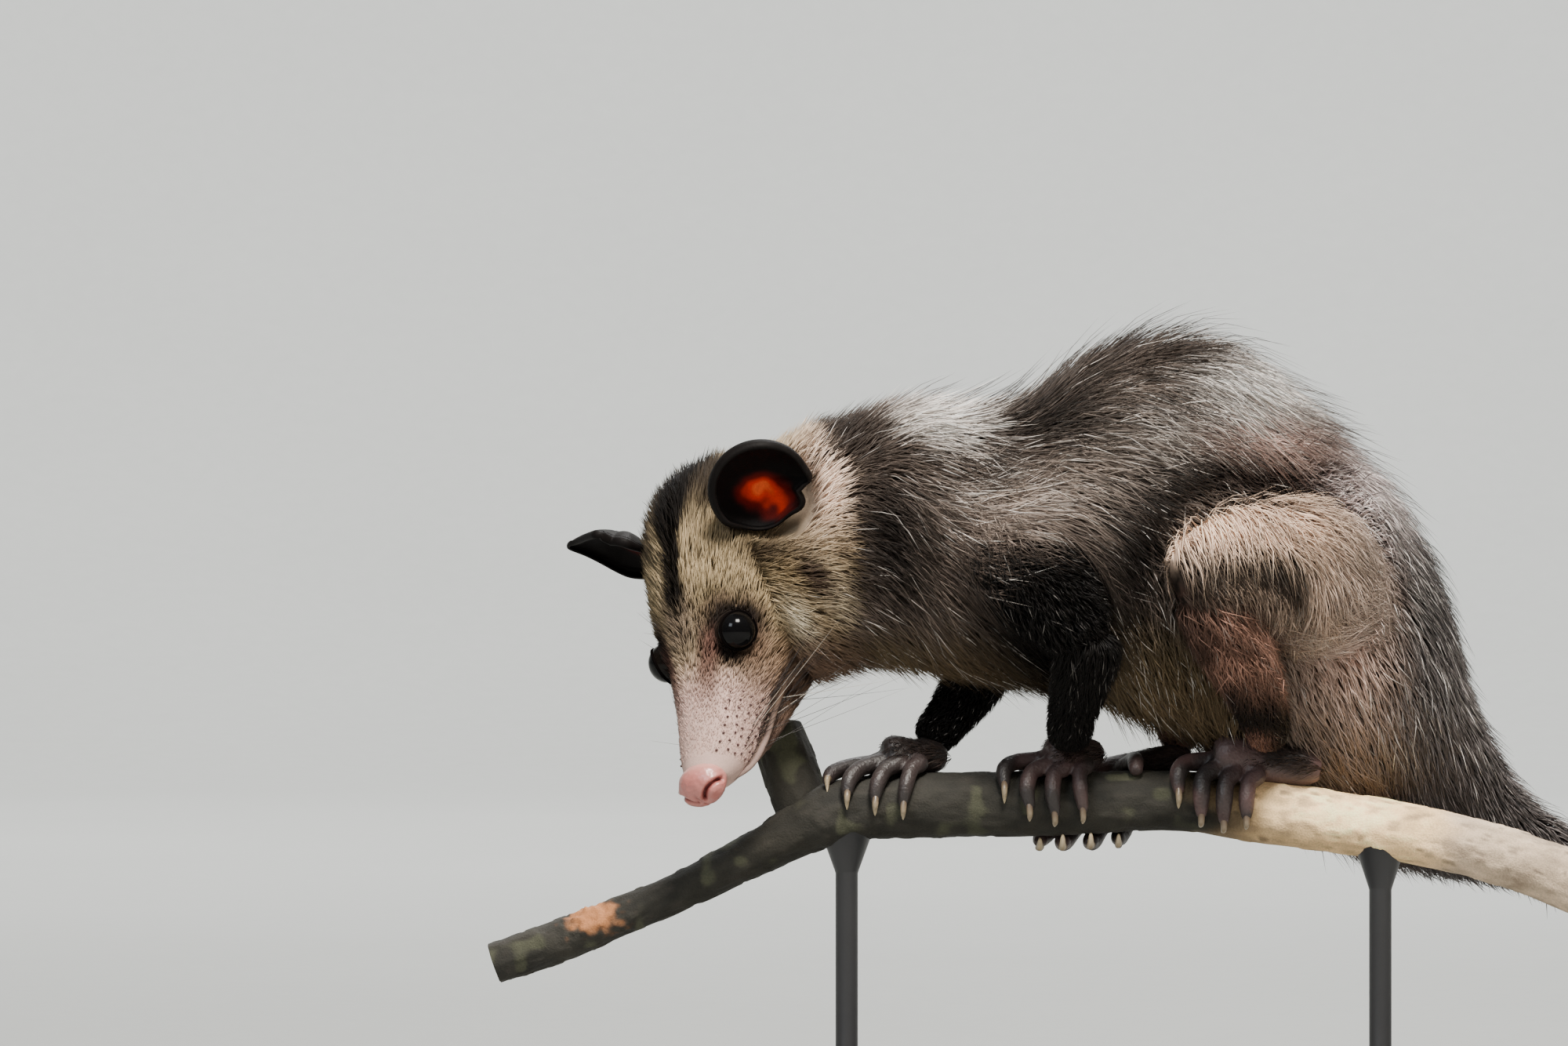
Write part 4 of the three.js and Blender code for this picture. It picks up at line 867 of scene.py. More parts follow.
head_skin = gather([(head_points, head_polygons), *(lip(s) for s in (1, -1))])
rims = gather([lid_rim(s) for s in (1, -1)])
skin = gather([body_skin, head_skin])
in_body = len(body_skin[0])
skin_colour = np.concatenate([body_tone(body_skin[0])[0] * 0.55, face_tone(head_skin[0])])
# the lips take half their colour, as painted shade along the mouth
skin_colour[in_body + len(head_points):] *= 0.5
for name, form in LIMBS.items():
    near = inside(form, body_skin[0], 2.5)
    skin_colour[:in_body][near] = limb_tone(name, body_skin[0][near]) * 0.8
BODY_NODES = ["neck", "chest", "rump", "tail_base", "head", "lower_jaw", *LIMBS]
dress(mesh_piece("skin", skin, skin_colour), skin_finish, "body_coat", *BODY_NODES)
rim_colour = np.tile((0.004, 0.003, 0.003), (len(rims[0]), 1))
dress(mesh_piece("lids", rims, rim_colour), lid_finish, "face_coat")

# %% [markdown]
# ## Coat
# The long hair is made of thin tufts: closed, three-sided blades that start in the skin, bend
# along it and end in a point. A tuft is walked along its own form in steps of place and angle, so
# it follows the body's curve, while its depth under the tips shrinks. Neighbours lean to a shared
# tip, as real hair clumps. All tufts of a part are worked out at once as arrays.


# %% Coat tools
LONG, SHORT = 4, 3
WIDTHS = {LONG: (0.75, 1.0, 0.7, 0.0), SHORT: (0.85, 0.9, 0.0)}
MOST_TUFTS = {LONG: 12000, SHORT: 19000}
BAKE_PATCH = 0.003
# steps of a sequence whose points fill a square evenly
EVEN_STEPS = (0.7548776662466927, 0.5698402909980532)
rng = np.random.default_rng(20)
# place of each form on the unwrap of the skin: lowest corner and size
UNWRAP = {"trunk": (0.01, 0.01, 0.97, 0.45), "skull": (0.01, 0.48, 0.6, 0.3),
          "jaw": (0.63, 0.48, 0.35, 0.12), "nape": (0.63, 0.62, 0.35, 0.16)}
for n, name in enumerate(LIMBS):
    UNWRAP[name] = (0.01 + 0.245 * (n % 4), 0.8 + 0.1 * (n // 4), 0.235, 0.09)


def ways(lines):
    """Share of the way along, from 0 to 1, at each station of the lines."""
    return np.linspace(0, 1, lines.shape[1])


def scatter(form, count, t_range):
    """Places and angles spread evenly over a form: of evenly strewn tries, each stays with a
    chance that goes with the area of surface for a step of its place and angle."""
    tries = np.arange(1, 5 * count)[:, None] * EVEN_STEPS
    tries = (tries + rng.random(2)) % 1.0
    t = t_range[0] + (t_range[1] - t_range[0]) * tries[:, 0]
    angle = TURN * tries[:, 1]
    along, round_it, _ = form_slopes(form, t, angle, coat_depth(form, t))
    area = np.linalg.norm(np.cross(along, round_it), axis=1)
    kept = np.nonzero(rng.random(len(t)) * np.quantile(area, 0.98) < area)[0]
    return t[kept[:count]], angle[kept[:count]]


def roots_on(form, count, t_range):
    """Roots scattered over a form: their place, angle and depth under the tips, the point of the
    skin there, and the directions along the form and out of it."""
    t, angle = scatter(form, count, t_range)
    inset = coat_depth(form, t)
    along, _, out = form_slopes(form, t, angle, inset)
    return t, angle, inset, form_point(form, t, angle, inset), unit(along), out


def swirl(points, size, seeds):
    """Direction that wanders from place to place: one noise of lumps for each axis."""
    return np.stack([lumps(points, size, seed) for seed in seeds], 1)


def walk(form, t, angle, flow, length, height, stations=LONG):
    """Middle lines of tufts and the skin's outward direction along them. The flow is a direction
    in space; the steps of place and angle that match it best come from the slopes of the form.
    The depth under the tips shrinks from the whole coat to what the tuft's height leaves. Where
    the skin faces along the flow, as under a thigh, the tuft hangs free: root + flow * length."""
    coat = coat_depth(form, t)
    along, round_it, out = form_slopes(form, t, angle, coat)
    aa, ar, rr = (along**2).sum(1), (along * round_it).sum(1), (round_it**2).sum(1)
    fa, fr = (flow * along).sum(1), (flow * round_it).sum(1)
    det = np.maximum(aa * rr - ar * ar, 1e-6)
    dt, da = (fa * rr - fr * ar) / det, (fr * aa - fa * ar) / det
    pace = np.maximum(np.linalg.norm(dt[:, None] * along + da[:, None] * round_it, axis=1), 0.3)
    dt, da = dt / pace, da / pace
    points, normals = [], []
    for s in np.linspace(0, 1, stations):
        place = np.clip(t + dt * length * s, -0.2, len(form) - 0.8)
        turned = angle + da * length * s
        inset = coat_depth(form, place) * (1 - height * s**0.75) + 0.6 * (s == 0)
        points.append(form_point(form, place, turned, inset))
        normals.append(form_slopes(form, place, turned, 0.0)[2])
    lines, normals = np.stack(points, 1), np.stack(normals, 1)
    way = unit(flow)
    hang = 0.8 * soft_step(0.5, 0.85, (way * out).sum(1))[:, None, None]
    free = lines[:, :1] + way[:, None] * (0.7 * length[:, None] * ways(lines))[..., None]
    return lines + hang * (free - lines), normals


def clump(lines, pull, share):
    """Leans each tuft towards the nearest of a few leaders, more towards the tip."""
    roots = lines[:, 0]
    leaders = rng.choice(len(lines), max(len(lines) // share, 1), replace=False)
    nearest = np.empty(len(lines), int)
    for start in range(0, len(lines), 4000):
        part = roots[start:start + 4000]
        away = -2 * part @ roots[leaders].T + (roots[leaders] ** 2).sum(-1)
        nearest[start:start + 4000] = leaders[np.argmin(away, axis=1)]
    pull = (pull * rng.uniform(0.5, 1.0, len(lines)))[:, None, None]
    return lines + ways(lines)[None, :, None] ** 1.4 * pull * (lines[nearest] - lines)


def blade_faces(count, stations):
    """Faces of closed three-sided blades: quads between rings, three faces at the tip and one
    at the root."""
    last = 3 * (stations - 1)
    quads = ring_quads(stations - 1, 3)[: 3 * (stations - 2)]
    tris = [[last - 3 + k, last - 3 + (k + 1) % 3, last] for k in range(3)] + [[2, 1, 0]]
    base = (np.arange(count) * (last + 1))[:, None, None]
    return [(np.array(q)[None] + base).reshape(-1, len(q[0])) for q in (quads, tris)]


def blade_points(lines, normals, half_width, widths, thick=0.45):
    """Points of the blades along lines: at each station a left, a right and a ridge point,
    across the line and along the outward direction, and one point at the tip."""
    ahead = unit(np.gradient(lines, axis=1))
    side = unit(np.cross(normals, ahead))
    reach = (half_width[:, None] * np.asarray(widths)[None])[..., None]
    ridge = np.cross(ahead, side)
    left, right, top = lines - side * reach, lines + side * reach, lines + ridge * reach * thick * 2
    rings = np.stack([left, right, top], 2)[:, :-1].reshape(len(lines), -1, 3)
    return np.concatenate([rings, lines[:, -1:]], 1).reshape(-1, 3)


def tuft_colours(tints):
    """Colour of each point of the blades from the colours at the stations of each line."""
    rings = np.repeat(tints[:, :-1], 3, axis=1)
    return np.concatenate([rings, tints[:, -1:]], 1).reshape(-1, 3)


def within(low, high, count):
    """Random numbers between two values, each as likely as the next."""
    return rng.uniform(low, high, count)


class Strands:
    """Tufts gathered for one finish, sorted along the animal and cut into pieces."""

    def __init__(self, stations):
        """Starts with no tufts; each will have this number of stations."""
        self.stations = stations
        self.parts = []

    def add(self, form_name, t, angle, lines, normals, half_width, tints):
        """Adds tufts of a form, shorter or none where they reach into the ear. Each gets a patch
        about 0.003 across on the bake map, at its root's place on the unwrap of the skin."""
        way = lines - lines[:, :1]
        share = np.ones(len(lines))
        for less in (0.85, 0.7, 0.55, 0.4, 0.25):
            tip = lines[:, 0] + share[:, None] * way[:, -1]
            share = np.where(in_ear(tip) | in_ear((lines[:, 0] + tip) / 2), less, share)
        lines = lines[:, :1] + share[:, None, None] * way
        tufts = (t, angle, lines, normals, half_width, tints)
        free = ~in_ear(lines[:, -1])
        t, angle, lines, normals, half_width, tints = (v[free] for v in tufts)
        x, y, w, h = UNWRAP[form_name]
        root = np.stack([x + w * ((angle / TURN) % 1.0), y + h * np.clip(t / t.max(), 0, 1)], 1)
        rows = self.stations - 1
        patch = [(k / 2 - 0.5, i / rows - 0.5) for i in range(rows) for k in range(3)] + [(0, 0.5)]
        uv = (root[:, None] + np.array(patch) * BAKE_PATCH).reshape(-1, 2)
        points = blade_points(lines, normals, half_width, WIDTHS[self.stations])
        self.parts.append((points, tuft_colours(tints), uv, lines[:, 0, 0]))

    def pieces(self, name, slot, finish=hair_finish):
        """Makes the pieces, each of no more tufts than keep it under 200,000 triangles."""
        per = 3 * (self.stations - 1) + 1
        biggest = MOST_TUFTS[self.stations]
        points, tints, uv, place = (np.concatenate(values) for values in zip(*self.parts))
        order = np.argsort(place)
        for n, chunk in enumerate(np.array_split(order, math.ceil(len(order) / biggest))):
            pick = (chunk[:, None] * per + np.arange(per)).ravel()
            shell = (points[pick], blade_faces(len(chunk), self.stations))
            dress(mesh_piece(f"{name}_{n + 1}", shell, tints[pick], uv[pick]), finish, slot)


def sway(lines, normals, amount):
    """Bends lines sideways, by a random share of their length times the square of the way."""
    length = np.linalg.norm(lines[:, -1] - lines[:, 0], axis=1)
    side = unit(np.cross(normals[:, 0], lines[:, 1] - lines[:, 0]))
    bend = rng.normal(0, amount, len(lines)) * length
    return lines + side[:, None] * (bend[:, None] * ways(lines) ** 2)[..., None]


# %% [markdown]
# ## Coat of the body
# The hair lies back from the head and hangs down the flanks and the rump. Every tuft has a pale
# or brown root, darkened as painted shade deep in the coat, and a darker end, and white guard
# hairs stand in the pale patches. A few longer black hairs break the outline of the back.


# %% Coat of the body
body_coat = {"under": Strands(SHORT), "guard": Strands(LONG), "long": Strands(LONG)}


def over_limbs(lines):
    """Lines whose outer points are lifted off the limbs that they reach, so that the body's hair
    falls over a limb's edge instead of into it."""
    lines = lines.copy()
    for name, form in LIMBS.items():
        for n, s in enumerate(ways(lines)):
            if n and ("upper" in name or "shank" in name):
                lines[:, n] = lifted(form, lines[:, n], 1.5 + 4.0 * s)
    return lines


def trunk_tufts(name, kind, count, t_range, length, height, half_width, pull):
    """Tufts of the trunk or the nape: flow along the body with a droop that grows towards the
    rump. The kind is the underfur, the guard hair, or the few long hairs of the outline."""
    form, other = (trunk, nape) if name == "trunk" else (nape, trunk)
    t, angle, inset, root, along, out = roots_on(form, count, t_range)
    droop = 0.35 + 0.45 * soft_step(30, 100, root[:, 0])
    flow = along + droop[:, None] * (0, 0, -1) + 0.45 * swirl(root, 26.0, (51, 52, 53))
    flow = flow + rng.normal(0, 0.09, (len(t), 3))
    deep = -7.5 if name == "nape" else -2.5
    hidden = inside(skull, root + out * inset[:, None] * 0.5, deep)
    hidden |= in_ear(root + out * inset[:, None]) | inside(other, root, -7.0)
    for limb_name, shape in LIMBS.items():
        hidden |= inside(shape, root, -3.0 if "thigh" in limb_name else -7.0)
    belly = (root[:, 2] < PERCH_HEIGHT + 16) & (np.abs(root[:, 1]) < 16) & (out[:, 2] < -0.2)
    low = (out[:, 2] < 0.1) & (kind == "long")
    keep = ~(hidden | belly | low)
    t, angle, flow, root, out = t[keep], angle[keep], flow[keep], root[keep], out[keep]
    long = length * (0.3 + coat_depth(form, t) / 24) * within(0.7, 1.25, len(t))
    back = soft_step(NECK_EDGE - 14, NECK_EDGE + 12, root[:, 0])
    by_thigh = np.hypot((root[:, 0] - 28) / 40, (root[:, 2] - PERCH_HEIGHT - 84) / 34)
    by_thigh = soft_step(1.6, 1.15, by_thigh) * (root[:, 1] < 0)
    long = long * (0.55 + 0.45 * back) * (1 - 0.7 * by_thigh) * (1.3 if name == "nape" else 1.0)
    coat = body_coat[kind]
    lines, normals = walk(form, t, angle, flow, long, within(*height, len(t)), coat.stations)
    lines = over_limbs(sway(clump(lines, pull * (0.35 + 0.65 * back), 9), normals, 0.12))
    tone, white, black = body_tone(lines[:, -2])
    tone = tone * (0.35 if kind == "long" else 1.0)
    dice = rng.random(len(t))
    whites = {"under": 0.8 * white, "guard": 0.03 + 0.8 * white, "long": 0.15 * white}
    shade = 1 + (0.12 + 0.23 * back[:, None]) * within(-1, 1, len(t))[:, None]
    pale_end = blend(tone, SILVER, within(0.55, 1.0, len(t)))
    darker = {"under": 0.0, "guard": 0.25, "long": 0.7}[kind] * (black > 0)
    dark_end = blend(tone * 0.95, BLACK, np.clip(0.9 * black + darker, 0, 1))
    end = np.where((dice < whites[kind])[:, None], pale_end, dark_end)
    share = np.array({LONG: (0, 0.55), SHORT: (0.3,)}[coat.stations])
    middle = [blend(tone, end, part) * shade for part in share]
    # painted shade deep in the coat: the root is darker than the tone, most on the body
    tints = np.stack([tone * (0.8 - 0.25 * back[:, None]), *middle, end * shade], 1)
    wide = half_width * (0.6 + 0.4 * back) * within(0.7, 1.25, len(t))
    coat.add(name, t, angle, lines, normals, wide, tints)
    return len(t)


# form, kind, count, range of places, length, range of heights, half width, pull to the leaders
BODY_TUFTS = [
    ("trunk", "under", 36000, (0.15, 15.6), 25, (0.35, 0.88), 0.46, 0.5),
    ("trunk", "guard", 20000, (0.5, 15.3), 33, (0.75, 1.06), 0.27, 0.35),
    ("trunk", "long", 3200, (2.5, 14.5), 38, (1.1, 1.5), 0.22, 0.2),
    ("trunk", "under", 6000, (0.15, 2.9), 23, (0.35, 0.95), 0.42, 0.5),
    ("nape", "under", 7000, (0.15, 4.4), 25, (0.35, 0.9), 0.42, 0.5),
    ("nape", "guard", 3000, (0.3, 4.4), 28, (0.7, 1.0), 0.25, 0.35),
]
print("body tufts", sum(trunk_tufts(*row) for row in BODY_TUFTS))

# %% [markdown]
# ## Coat of the limbs
# The thigh's hair hangs back and down over the flank. Below the knee and on the arms it is
# short and follows the limb to the wrist.


# %% Coat of the limbs
limb_coat = {"tan": Strands(LONG), "dark": Strands(SHORT)}


def limb_tufts(name, count, length, half_width=0.28, height=(0.6, 1.15)):
    """Tufts of one limb, in the stations of the coat that the limb belongs to."""
    form = LIMBS[name]
    is_thigh = "thigh" in name
    coat = limb_coat["tan" if is_thigh else "dark"]
    wrist = 1.4 if "fore" in name or "shank" in name else 1.1
    t, angle, _, root, along, out = roots_on(form, count, (0.2, len(form) - wrist))
    flow = along + rng.normal(0, 0.3 if "shank" in name else 0.1, (len(t), 3))
    if is_thigh:
        flow = np.array([0.75, 0, -0.65]) + 0.55 * swirl(root, 20.0, (61, 62, 63))
        flow = flow + rng.normal(0, 0.16, (len(t), 3))
    hidden = inside(trunk, root, 1.0 if is_thigh else -3.0)
    for other, shape in LIMBS.items():
        if other != name:
            hidden |= inside(shape, root, -1.0)
    t, angle, flow, root, out = (v[~hidden] for v in (t, angle, flow, root, out))
    long = length * (0.5 + coat_depth(form, t) / 12) * within(0.75, 1.25, len(t))
    lines, normals = walk(form, t, angle, flow, long, within(*height, len(t)), coat.stations)
    lines = sway(clump(lines, 0.22, 6), normals, 0.16)
    vary = 0.18 if is_thigh else 0.45
    tone = limb_tone(name, lines[:, 1]) * within(1 - vary, 1 + vary, len(t))[:, None]
    glint = rng.random(len(t)) < (0.12 if is_thigh else 0.04)
    end = np.where(glint[:, None], blend(tone, SILVER, 0.4), tone * 0.95)
    base = tone * (0.85 if is_thigh else 0.65)
    tints = np.stack([base, *[tone] * (coat.stations - 2), end], 1)
    coat.add(name, t, angle, lines, normals, half_width * within(0.7, 1.2, len(t)), tints)
    return len(t)


# count of tufts and their length
LIMB_TUFTS = {"thigh": (7600, 13), "shank": (3700, 14), "arm": (3700, 8.5)}
for name in LIMBS:
    count, length = next(row for kind, row in LIMB_TUFTS.items() if kind in name)
    print(name, limb_tufts(name, count, length))

# %% [markdown]
# ## Coat of the head
# The face fur is short and flat, and grows back from the nose. It starts as a fine down on the
# muzzle, and is longest on the cheeks and behind the ears, where it runs into the neck.


# %% Coat of the head
face_coat = Strands(SHORT)


def head_tufts(form_name, form, other, first, count):
    """Tufts of the skull or the jaw: flow back from the nose, a little outwards and, low on the
    cheek, down and over to the neck. None grow on the eyes or in the slit of the mouth."""
    t, angle, inset, root, _, out = roots_on(form, count, (first, len(form) - 1.9))
    f, l, u = ((root - HEAD_AT) @ HEAD_AXES.T).T
    flow = -NOSE_WARD + 0.35 * np.sign(l)[:, None] * LEFT_WARD
    flow = flow - 0.2 * soft_step(0, -20, u)[:, None] * BROW_WARD
    to_neck = soft_step(-12, -40, f) * soft_step(4, -22, u)
    flow = flow + to_neck[:, None] * (1.1, -0.1, -0.1) + rng.normal(0, 0.07, (len(t), 3))
    hidden = in_ear(root + out * inset[:, None] * 0.3)
    hidden |= inside(trunk, root, -8.0) | inside(other, root, -1.5)
    for sign in (1, -1):
        look, along, across = gaze(sign)
        off = root - eye_middle(sign)
        slit = np.hypot(off @ along / (SLIT[0] + 0.3), off @ across / (SLIT[1] + 0.3)) < 1
        hidden |= slit & (off @ look > 0) & (np.linalg.norm(off, axis=1) < 12)
    lips = (np.abs(u + 25.5 - 0.2 * f) < 1.0) & (f > 2)
    keep = ~(hidden | lips) & (f < 46)
    t, angle, flow, root, out, f, u = (v[keep] for v in (t, angle, flow, root, out, f, u))
    crown = soft_step(-16, -48, f) * soft_step(-8, 8, u)
    long = 1.7 + 3.0 * soft_step(30, 0, f) + 4.5 * soft_step(-4, -34, f)
    long = (long + 3 * soft_step(-8, -30, u) + 4 * crown) * within(0.75, 1.25, len(t))
    lines, normals = walk(form, t, angle, flow, long, within(0.35, 1.0, len(t)), SHORT)
    lift = (0.12 + 0.10 * rng.random(len(t)) + 0.35 * crown) * long * soft_step(48, 20, f)
    lines = lines + out[:, None] * (lift[:, None] * ways(lines))[..., None]
    for sign in (1, -1):
        off = lines - eye_middle(sign)
        away = np.linalg.norm(off, axis=-1, keepdims=True)
        lines = lines + off / away * np.clip(EYE_RADIUS + 0.7 - away, 0, 4)
    lines = sway(clump(lines, 0.3, 7), normals, 0.09)
    tone = face_tone(lines[:, 1]) * within(0.75, 1.22, len(t))[:, None]
    dark_tip = (rng.random(len(t)) < 0.10 * soft_step(-2, -14, f))[:, None]
    tints = np.stack([tone * 0.75, tone, np.where(dark_tip, tone * 0.3, tone * 1.05)], 1)
    wide = (0.15 + 0.13 * soft_step(34, -6, f)) * within(0.75, 1.25, len(t))
    face_coat.add(form_name, t, angle, lines, normals, wide, tints)
    return len(t)


made = head_tufts("skull", skull, jaw, 0.25, 34000)
made += head_tufts("jaw", jaw, skull, 0.4, 5000)
print("face tufts", made)
for kind, coat in body_coat.items():
    coat.pieces(f"coat_{kind}", "body_coat")
limb_coat["tan"].pieces("coat_thighs", "tan_coat")
limb_coat["dark"].pieces("coat_legs", "dark_coat")
face_coat.pieces("coat_face", "face_coat", face_hair_finish)

# %% [markdown]
# ## Eyes
# The eyes are black and wet, and stand a little out of the face. A ball with a clear, hard gloss
# shows the lights as small sharp glints, which is what makes an eye look alive. The iris is so
# dark that it hardly shows.


# %% Eyes
eye_finish = finish_of("wet black eye", 0.11, strength=0.1, bump=0, IOR=1.4,
                       Specular_IOR_Level=0.22)


def eyeball(sign):
    """Ball that turns from black to a very dark brown away from the gaze."""
    points, polygons = ball_shell(eye_middle(sign), [EYE_RADIUS] * 3, 48, 64)
    front = unit(points - eye_middle(sign)) @ gaze(sign)[0]
    tone = blend((0.003, 0.0028, 0.003), (0.007, 0.005, 0.004), soft_step(0.6, 0.3, front))
    return (points, polygons), tone


for hand, sign in (("left", 1), ("right", -1)):
    shape, tone = eyeball(sign)
    dress(mesh_piece(f"eyeball_{hand}", shape, tone), eye_finish, "eye", f"eye_{hand}")

# %% [markdown]
# ## Ears
# An opossum's ear is a bare, thin bowl with a thick rim that curls inwards, and a hook and a small
# lobe in its hind edge. Its surface runs from the bottom of the bowl out to an outline that is
# nearly a circle: the share of the way gives the depth, and near the rim the surface turns over
# in a half circle. A second surface behind it gives it thickness. Deep in the bowl the thin skin
# is painted orange-red, a painted glow of the light that comes through it.


# %% Ears
RIM_START, RIM_RADIUS = 0.80, 2.3
# bends of the hind edge, the notch and the hook: height, place and width in degrees
EAR_EDGE = [(-0.15, 346, 9), (-0.10, 322, 30), (0.05, 2, 9), (0.04, 326, 10)]
# colours of the painted glow of light through the skin, and the range of the glow in which each
# comes in
EAR_GLOW = [((0.09, 0.005, 0.003), 0.06, 0.4), ((0.62, 0.030, 0.009), 0.4, 0.85),
            ((0.80, 0.10, 0.03), 0.8, 1.1)]


def ear_surface(g, angle, root, rise, opens, bowl, slim):
    """Point at a share g of the way from the bottom of the bowl to the rim, at an angle round
    the middle: middle + outline * reach(g) + out * depth(g), where the depth is the bowl's times
    g squared less one, and past the start of the rim both turn over in a circle. A slim tip has
    a flatter bowl and a thinner rim."""
    up, out, side = ear_axes(rise, opens)
    cos, sin = np.cos(angle), np.sin(angle)
    turned = np.degrees(angle) % 360
    bend = sum(height * np.exp(-(((turned - at) / width) ** 2)) for height, at, width in EAR_EDGE)
    low = soft_step(-0.55, -0.95, sin)
    size = 1 + bend - 0.12 * low
    curl = soft_step(0, 1, (g - RIM_START) / (1 - RIM_START)) * math.pi * 0.95
    roll = RIM_RADIUS * (1 - 0.75 * low) * (1 - 0.3 * soft_step(0.1, 0.9, cos))
    roll = roll * (1 - slim * (0.3 + 0.5 * soft_step(-0.2, 0.9, sin)))
    flat = np.minimum(g / RIM_START, 1.0)
    reach = flat * (size - roll / EAR_HALF[0]) + roll / EAR_HALF[0] * np.sin(curl)
    tip = 1 - (0.45 + 0.5 * slim) * soft_step(0.2 - 0.6 * slim, 1.0, sin * g)
    depth = bowl * tip * (flat**2 - 1) + roll * (1 - np.cos(curl))
    ripple = 0.35 * np.sin(9 * sin * g + 2.0 * cos) * soft_step(0.25, 0.5, g)
    depth = depth + 2.6 * (sin * g + 1) ** 2 / 4 + ripple * soft_step(0.8, 0.6, g)
    x = EAR_HALF[0] * cos * reach * (1 - 0.7 * slim * soft_step(-0.1, 1.0, sin * g))
    y = EAR_HALF[1] * (sin * reach + EAR_RISE)
    return root + side * x[..., None] + up * y[..., None] + out * depth[..., None], out, (x, y)


def ear_shape(spec, rows=42, sides=96):
    """Closed sheet of an ear and its colours: the front from the bowl's bottom to the rim, and
    the back, moved behind along the surface's normal, from the rim to the bottom."""
    g, angle = round_grid(np.linspace(0.03, 1, rows), sides)
    front, out, (x, y) = ear_surface(g, angle, *spec)

    def step(dg, da):
        return ear_surface(g + dg, angle + da, *spec)[0] - ear_surface(g - dg, angle - da, *spec)[0]

    normal = unit(np.cross(step(0.004, 0), step(0, 0.004)))
    normal = normal * np.sign((normal[0] @ out).mean())
    thick = 0.9 - 0.7 * soft_step(0.97, 1.0, g)
    back = front - normal * thick[..., None]
    # painted glow where light would shine through the bowl
    glow = 1.1 * blob(x, y, (-0.5, 13.5), (6.5, 4.5)) + 0.55 * blob(x, y, (6, 7.5), (7, 6.5))
    hind = soft_step(-1, 4, x) * soft_step(13, 8, y)
    glow = glow * np.maximum(soft_step(0.84, 0.7, g), 0.55 * hind)
    glow = glow * (1 + 0.3 * lumps(front, 3.0, 71))
    inner = (0.004, 0.003, 0.003)
    for colour, low, high in EAR_GLOW:
        inner = blend(inner, colour, soft_step(low, high, glow))
    outer = np.array((0.006, 0.0048, 0.0045)) * (1 + 0.3 * lumps(back, 4.0, 73))[..., None]
    shape = closed_grid(np.concatenate([front, back[::-1]]))
    grids = [tone.reshape(-1, 3) for tone in (inner, outer[::-1])]
    return shape, np.concatenate([*grids, inner[:1, 0], outer[:1, 0]])


ear_finish = finish_of("thin ear skin", 0.55, patch=200.0, grain=1400.0, strength=0.18, bump=0.35,
                       Specular_IOR_Level=0.07)
for name, spec in EARS.items():
    shape, tone = ear_shape(spec)
    dress(mesh_piece(f"{name}_bowl", shape, tone), ear_finish, "ear_skin", name)

# %% [markdown]
# ## Nose
# The nose pad is bare, moist and pink, split by a shallow groove, with a nostril like a comma on
# each side. The pad is a form like the skull. Points near the line of a nostril sink by a soft
# trough, deepest on the line, and darken there as painted shade in the opening.


# %% Nose
def trough(points, line, width):
    """exp(-(distance / width) squared) of the distance of points from a line of points."""
    line = np.asarray(line, float)
    place = np.linspace(0, len(line) - 1, 40)
    fine = smooth_rows(line, place)
    away = np.sqrt(((points[:, None] - fine) ** 2).sum(-1)).min(1)
    return np.exp(-((away / width) ** 2))


pad = head_form([
    (47, 4.2, -7.2, 7.2, 0, 0), (49, 5.3, -7.8, 8.2, 0, 0), (51.5, 6.7, -8.2, 9.4, 0, 0),
    (55.5, 6.3, -7.6, 9.5, 0, 0), (58.8, 4.1, -6, 7.6, 0, 0), (60.4, 1.6, -4, 4.4, 0, 0),
    (60.9, -0.4, -2.2, 1.2, 0, 0),
])
NOSTRIL = [(60.6, 2.2, 0.2), (59.6, 4.2, 1.9), (57.6, 6.8, 2.4), (55.4, 9.0, 0.6),
           (54.4, 10.0, -1.6)]
t, angle = round_grid(np.linspace(0, 6, 110), 128)
nose_points, nose_polygons = closed_grid(form_point(pad, t, angle, 0.0))
own = (nose_points - HEAD_AT) @ HEAD_AXES.T
slot = sum(trough(own * (1, s, 1), NOSTRIL, 0.95) for s in (1, -1))
wing = sum(trough(own * (1, s, 1), np.add(NOSTRIL, (0.4, 0, 2.4)), 1.5) for s in (1, -1))
f, l, u = own.T
cleft = np.exp(-((l / 0.7) ** 2)) * soft_step(51, 55, f) * soft_step(4.5, 1.5, u)
sink = unit(own - (52, 0, -1))
rise = 0.7 * wing * (1 - slot) - 2.4 * slot - 0.8 * cleft + 0.10 * lumps(own, 0.9, 2)
own = own + sink * rise[:, None]
nose_tone = blend((0.50, 0.175, 0.15), (0.58, 0.31, 0.265), 0.8 * soft_step(54, 47, own[:, 0]))
# painted shade in the openings of the nostrils
nose_tone = blend(nose_tone, (0.13, 0.014, 0.014), np.clip(1.5 * slot - 0.25, 0, 1))
nose_tone = blend(nose_tone, (0.42, 0.16, 0.15), 0.6 * cleft)
nose_tone = nose_tone * (1 + 0.1 * lumps(own, 2.5, 4))[:, None]
nose_finish = finish_of("moist nose skin", 0.34, patch=400.0, grain=3000.0, strength=0.1, bump=0.3,
                        Coat_Weight=0.25, Coat_Roughness=0.2)
nose = mesh_piece("nose_pad", (on_head(own), nose_polygons), nose_tone)
dress(nose, nose_finish, "nose_skin", "nose")

# %% [markdown]
# ## Whiskers
# Whiskers grow in rows on the muzzle, with a few on the cheek and over the eye. Each is a long
# blade that leaves the skin outwards, bends back and sinks a little, some black and some pale.


# %% Whiskers
WHISKER_STATIONS = 9


def skull_place(f):
    """Place t on the skull's form of a place towards the nose, read between its stations."""
    stations = [row[0] for row in SKULL_ROWS]
    return np.interp(f, stations, np.arange(len(stations)))


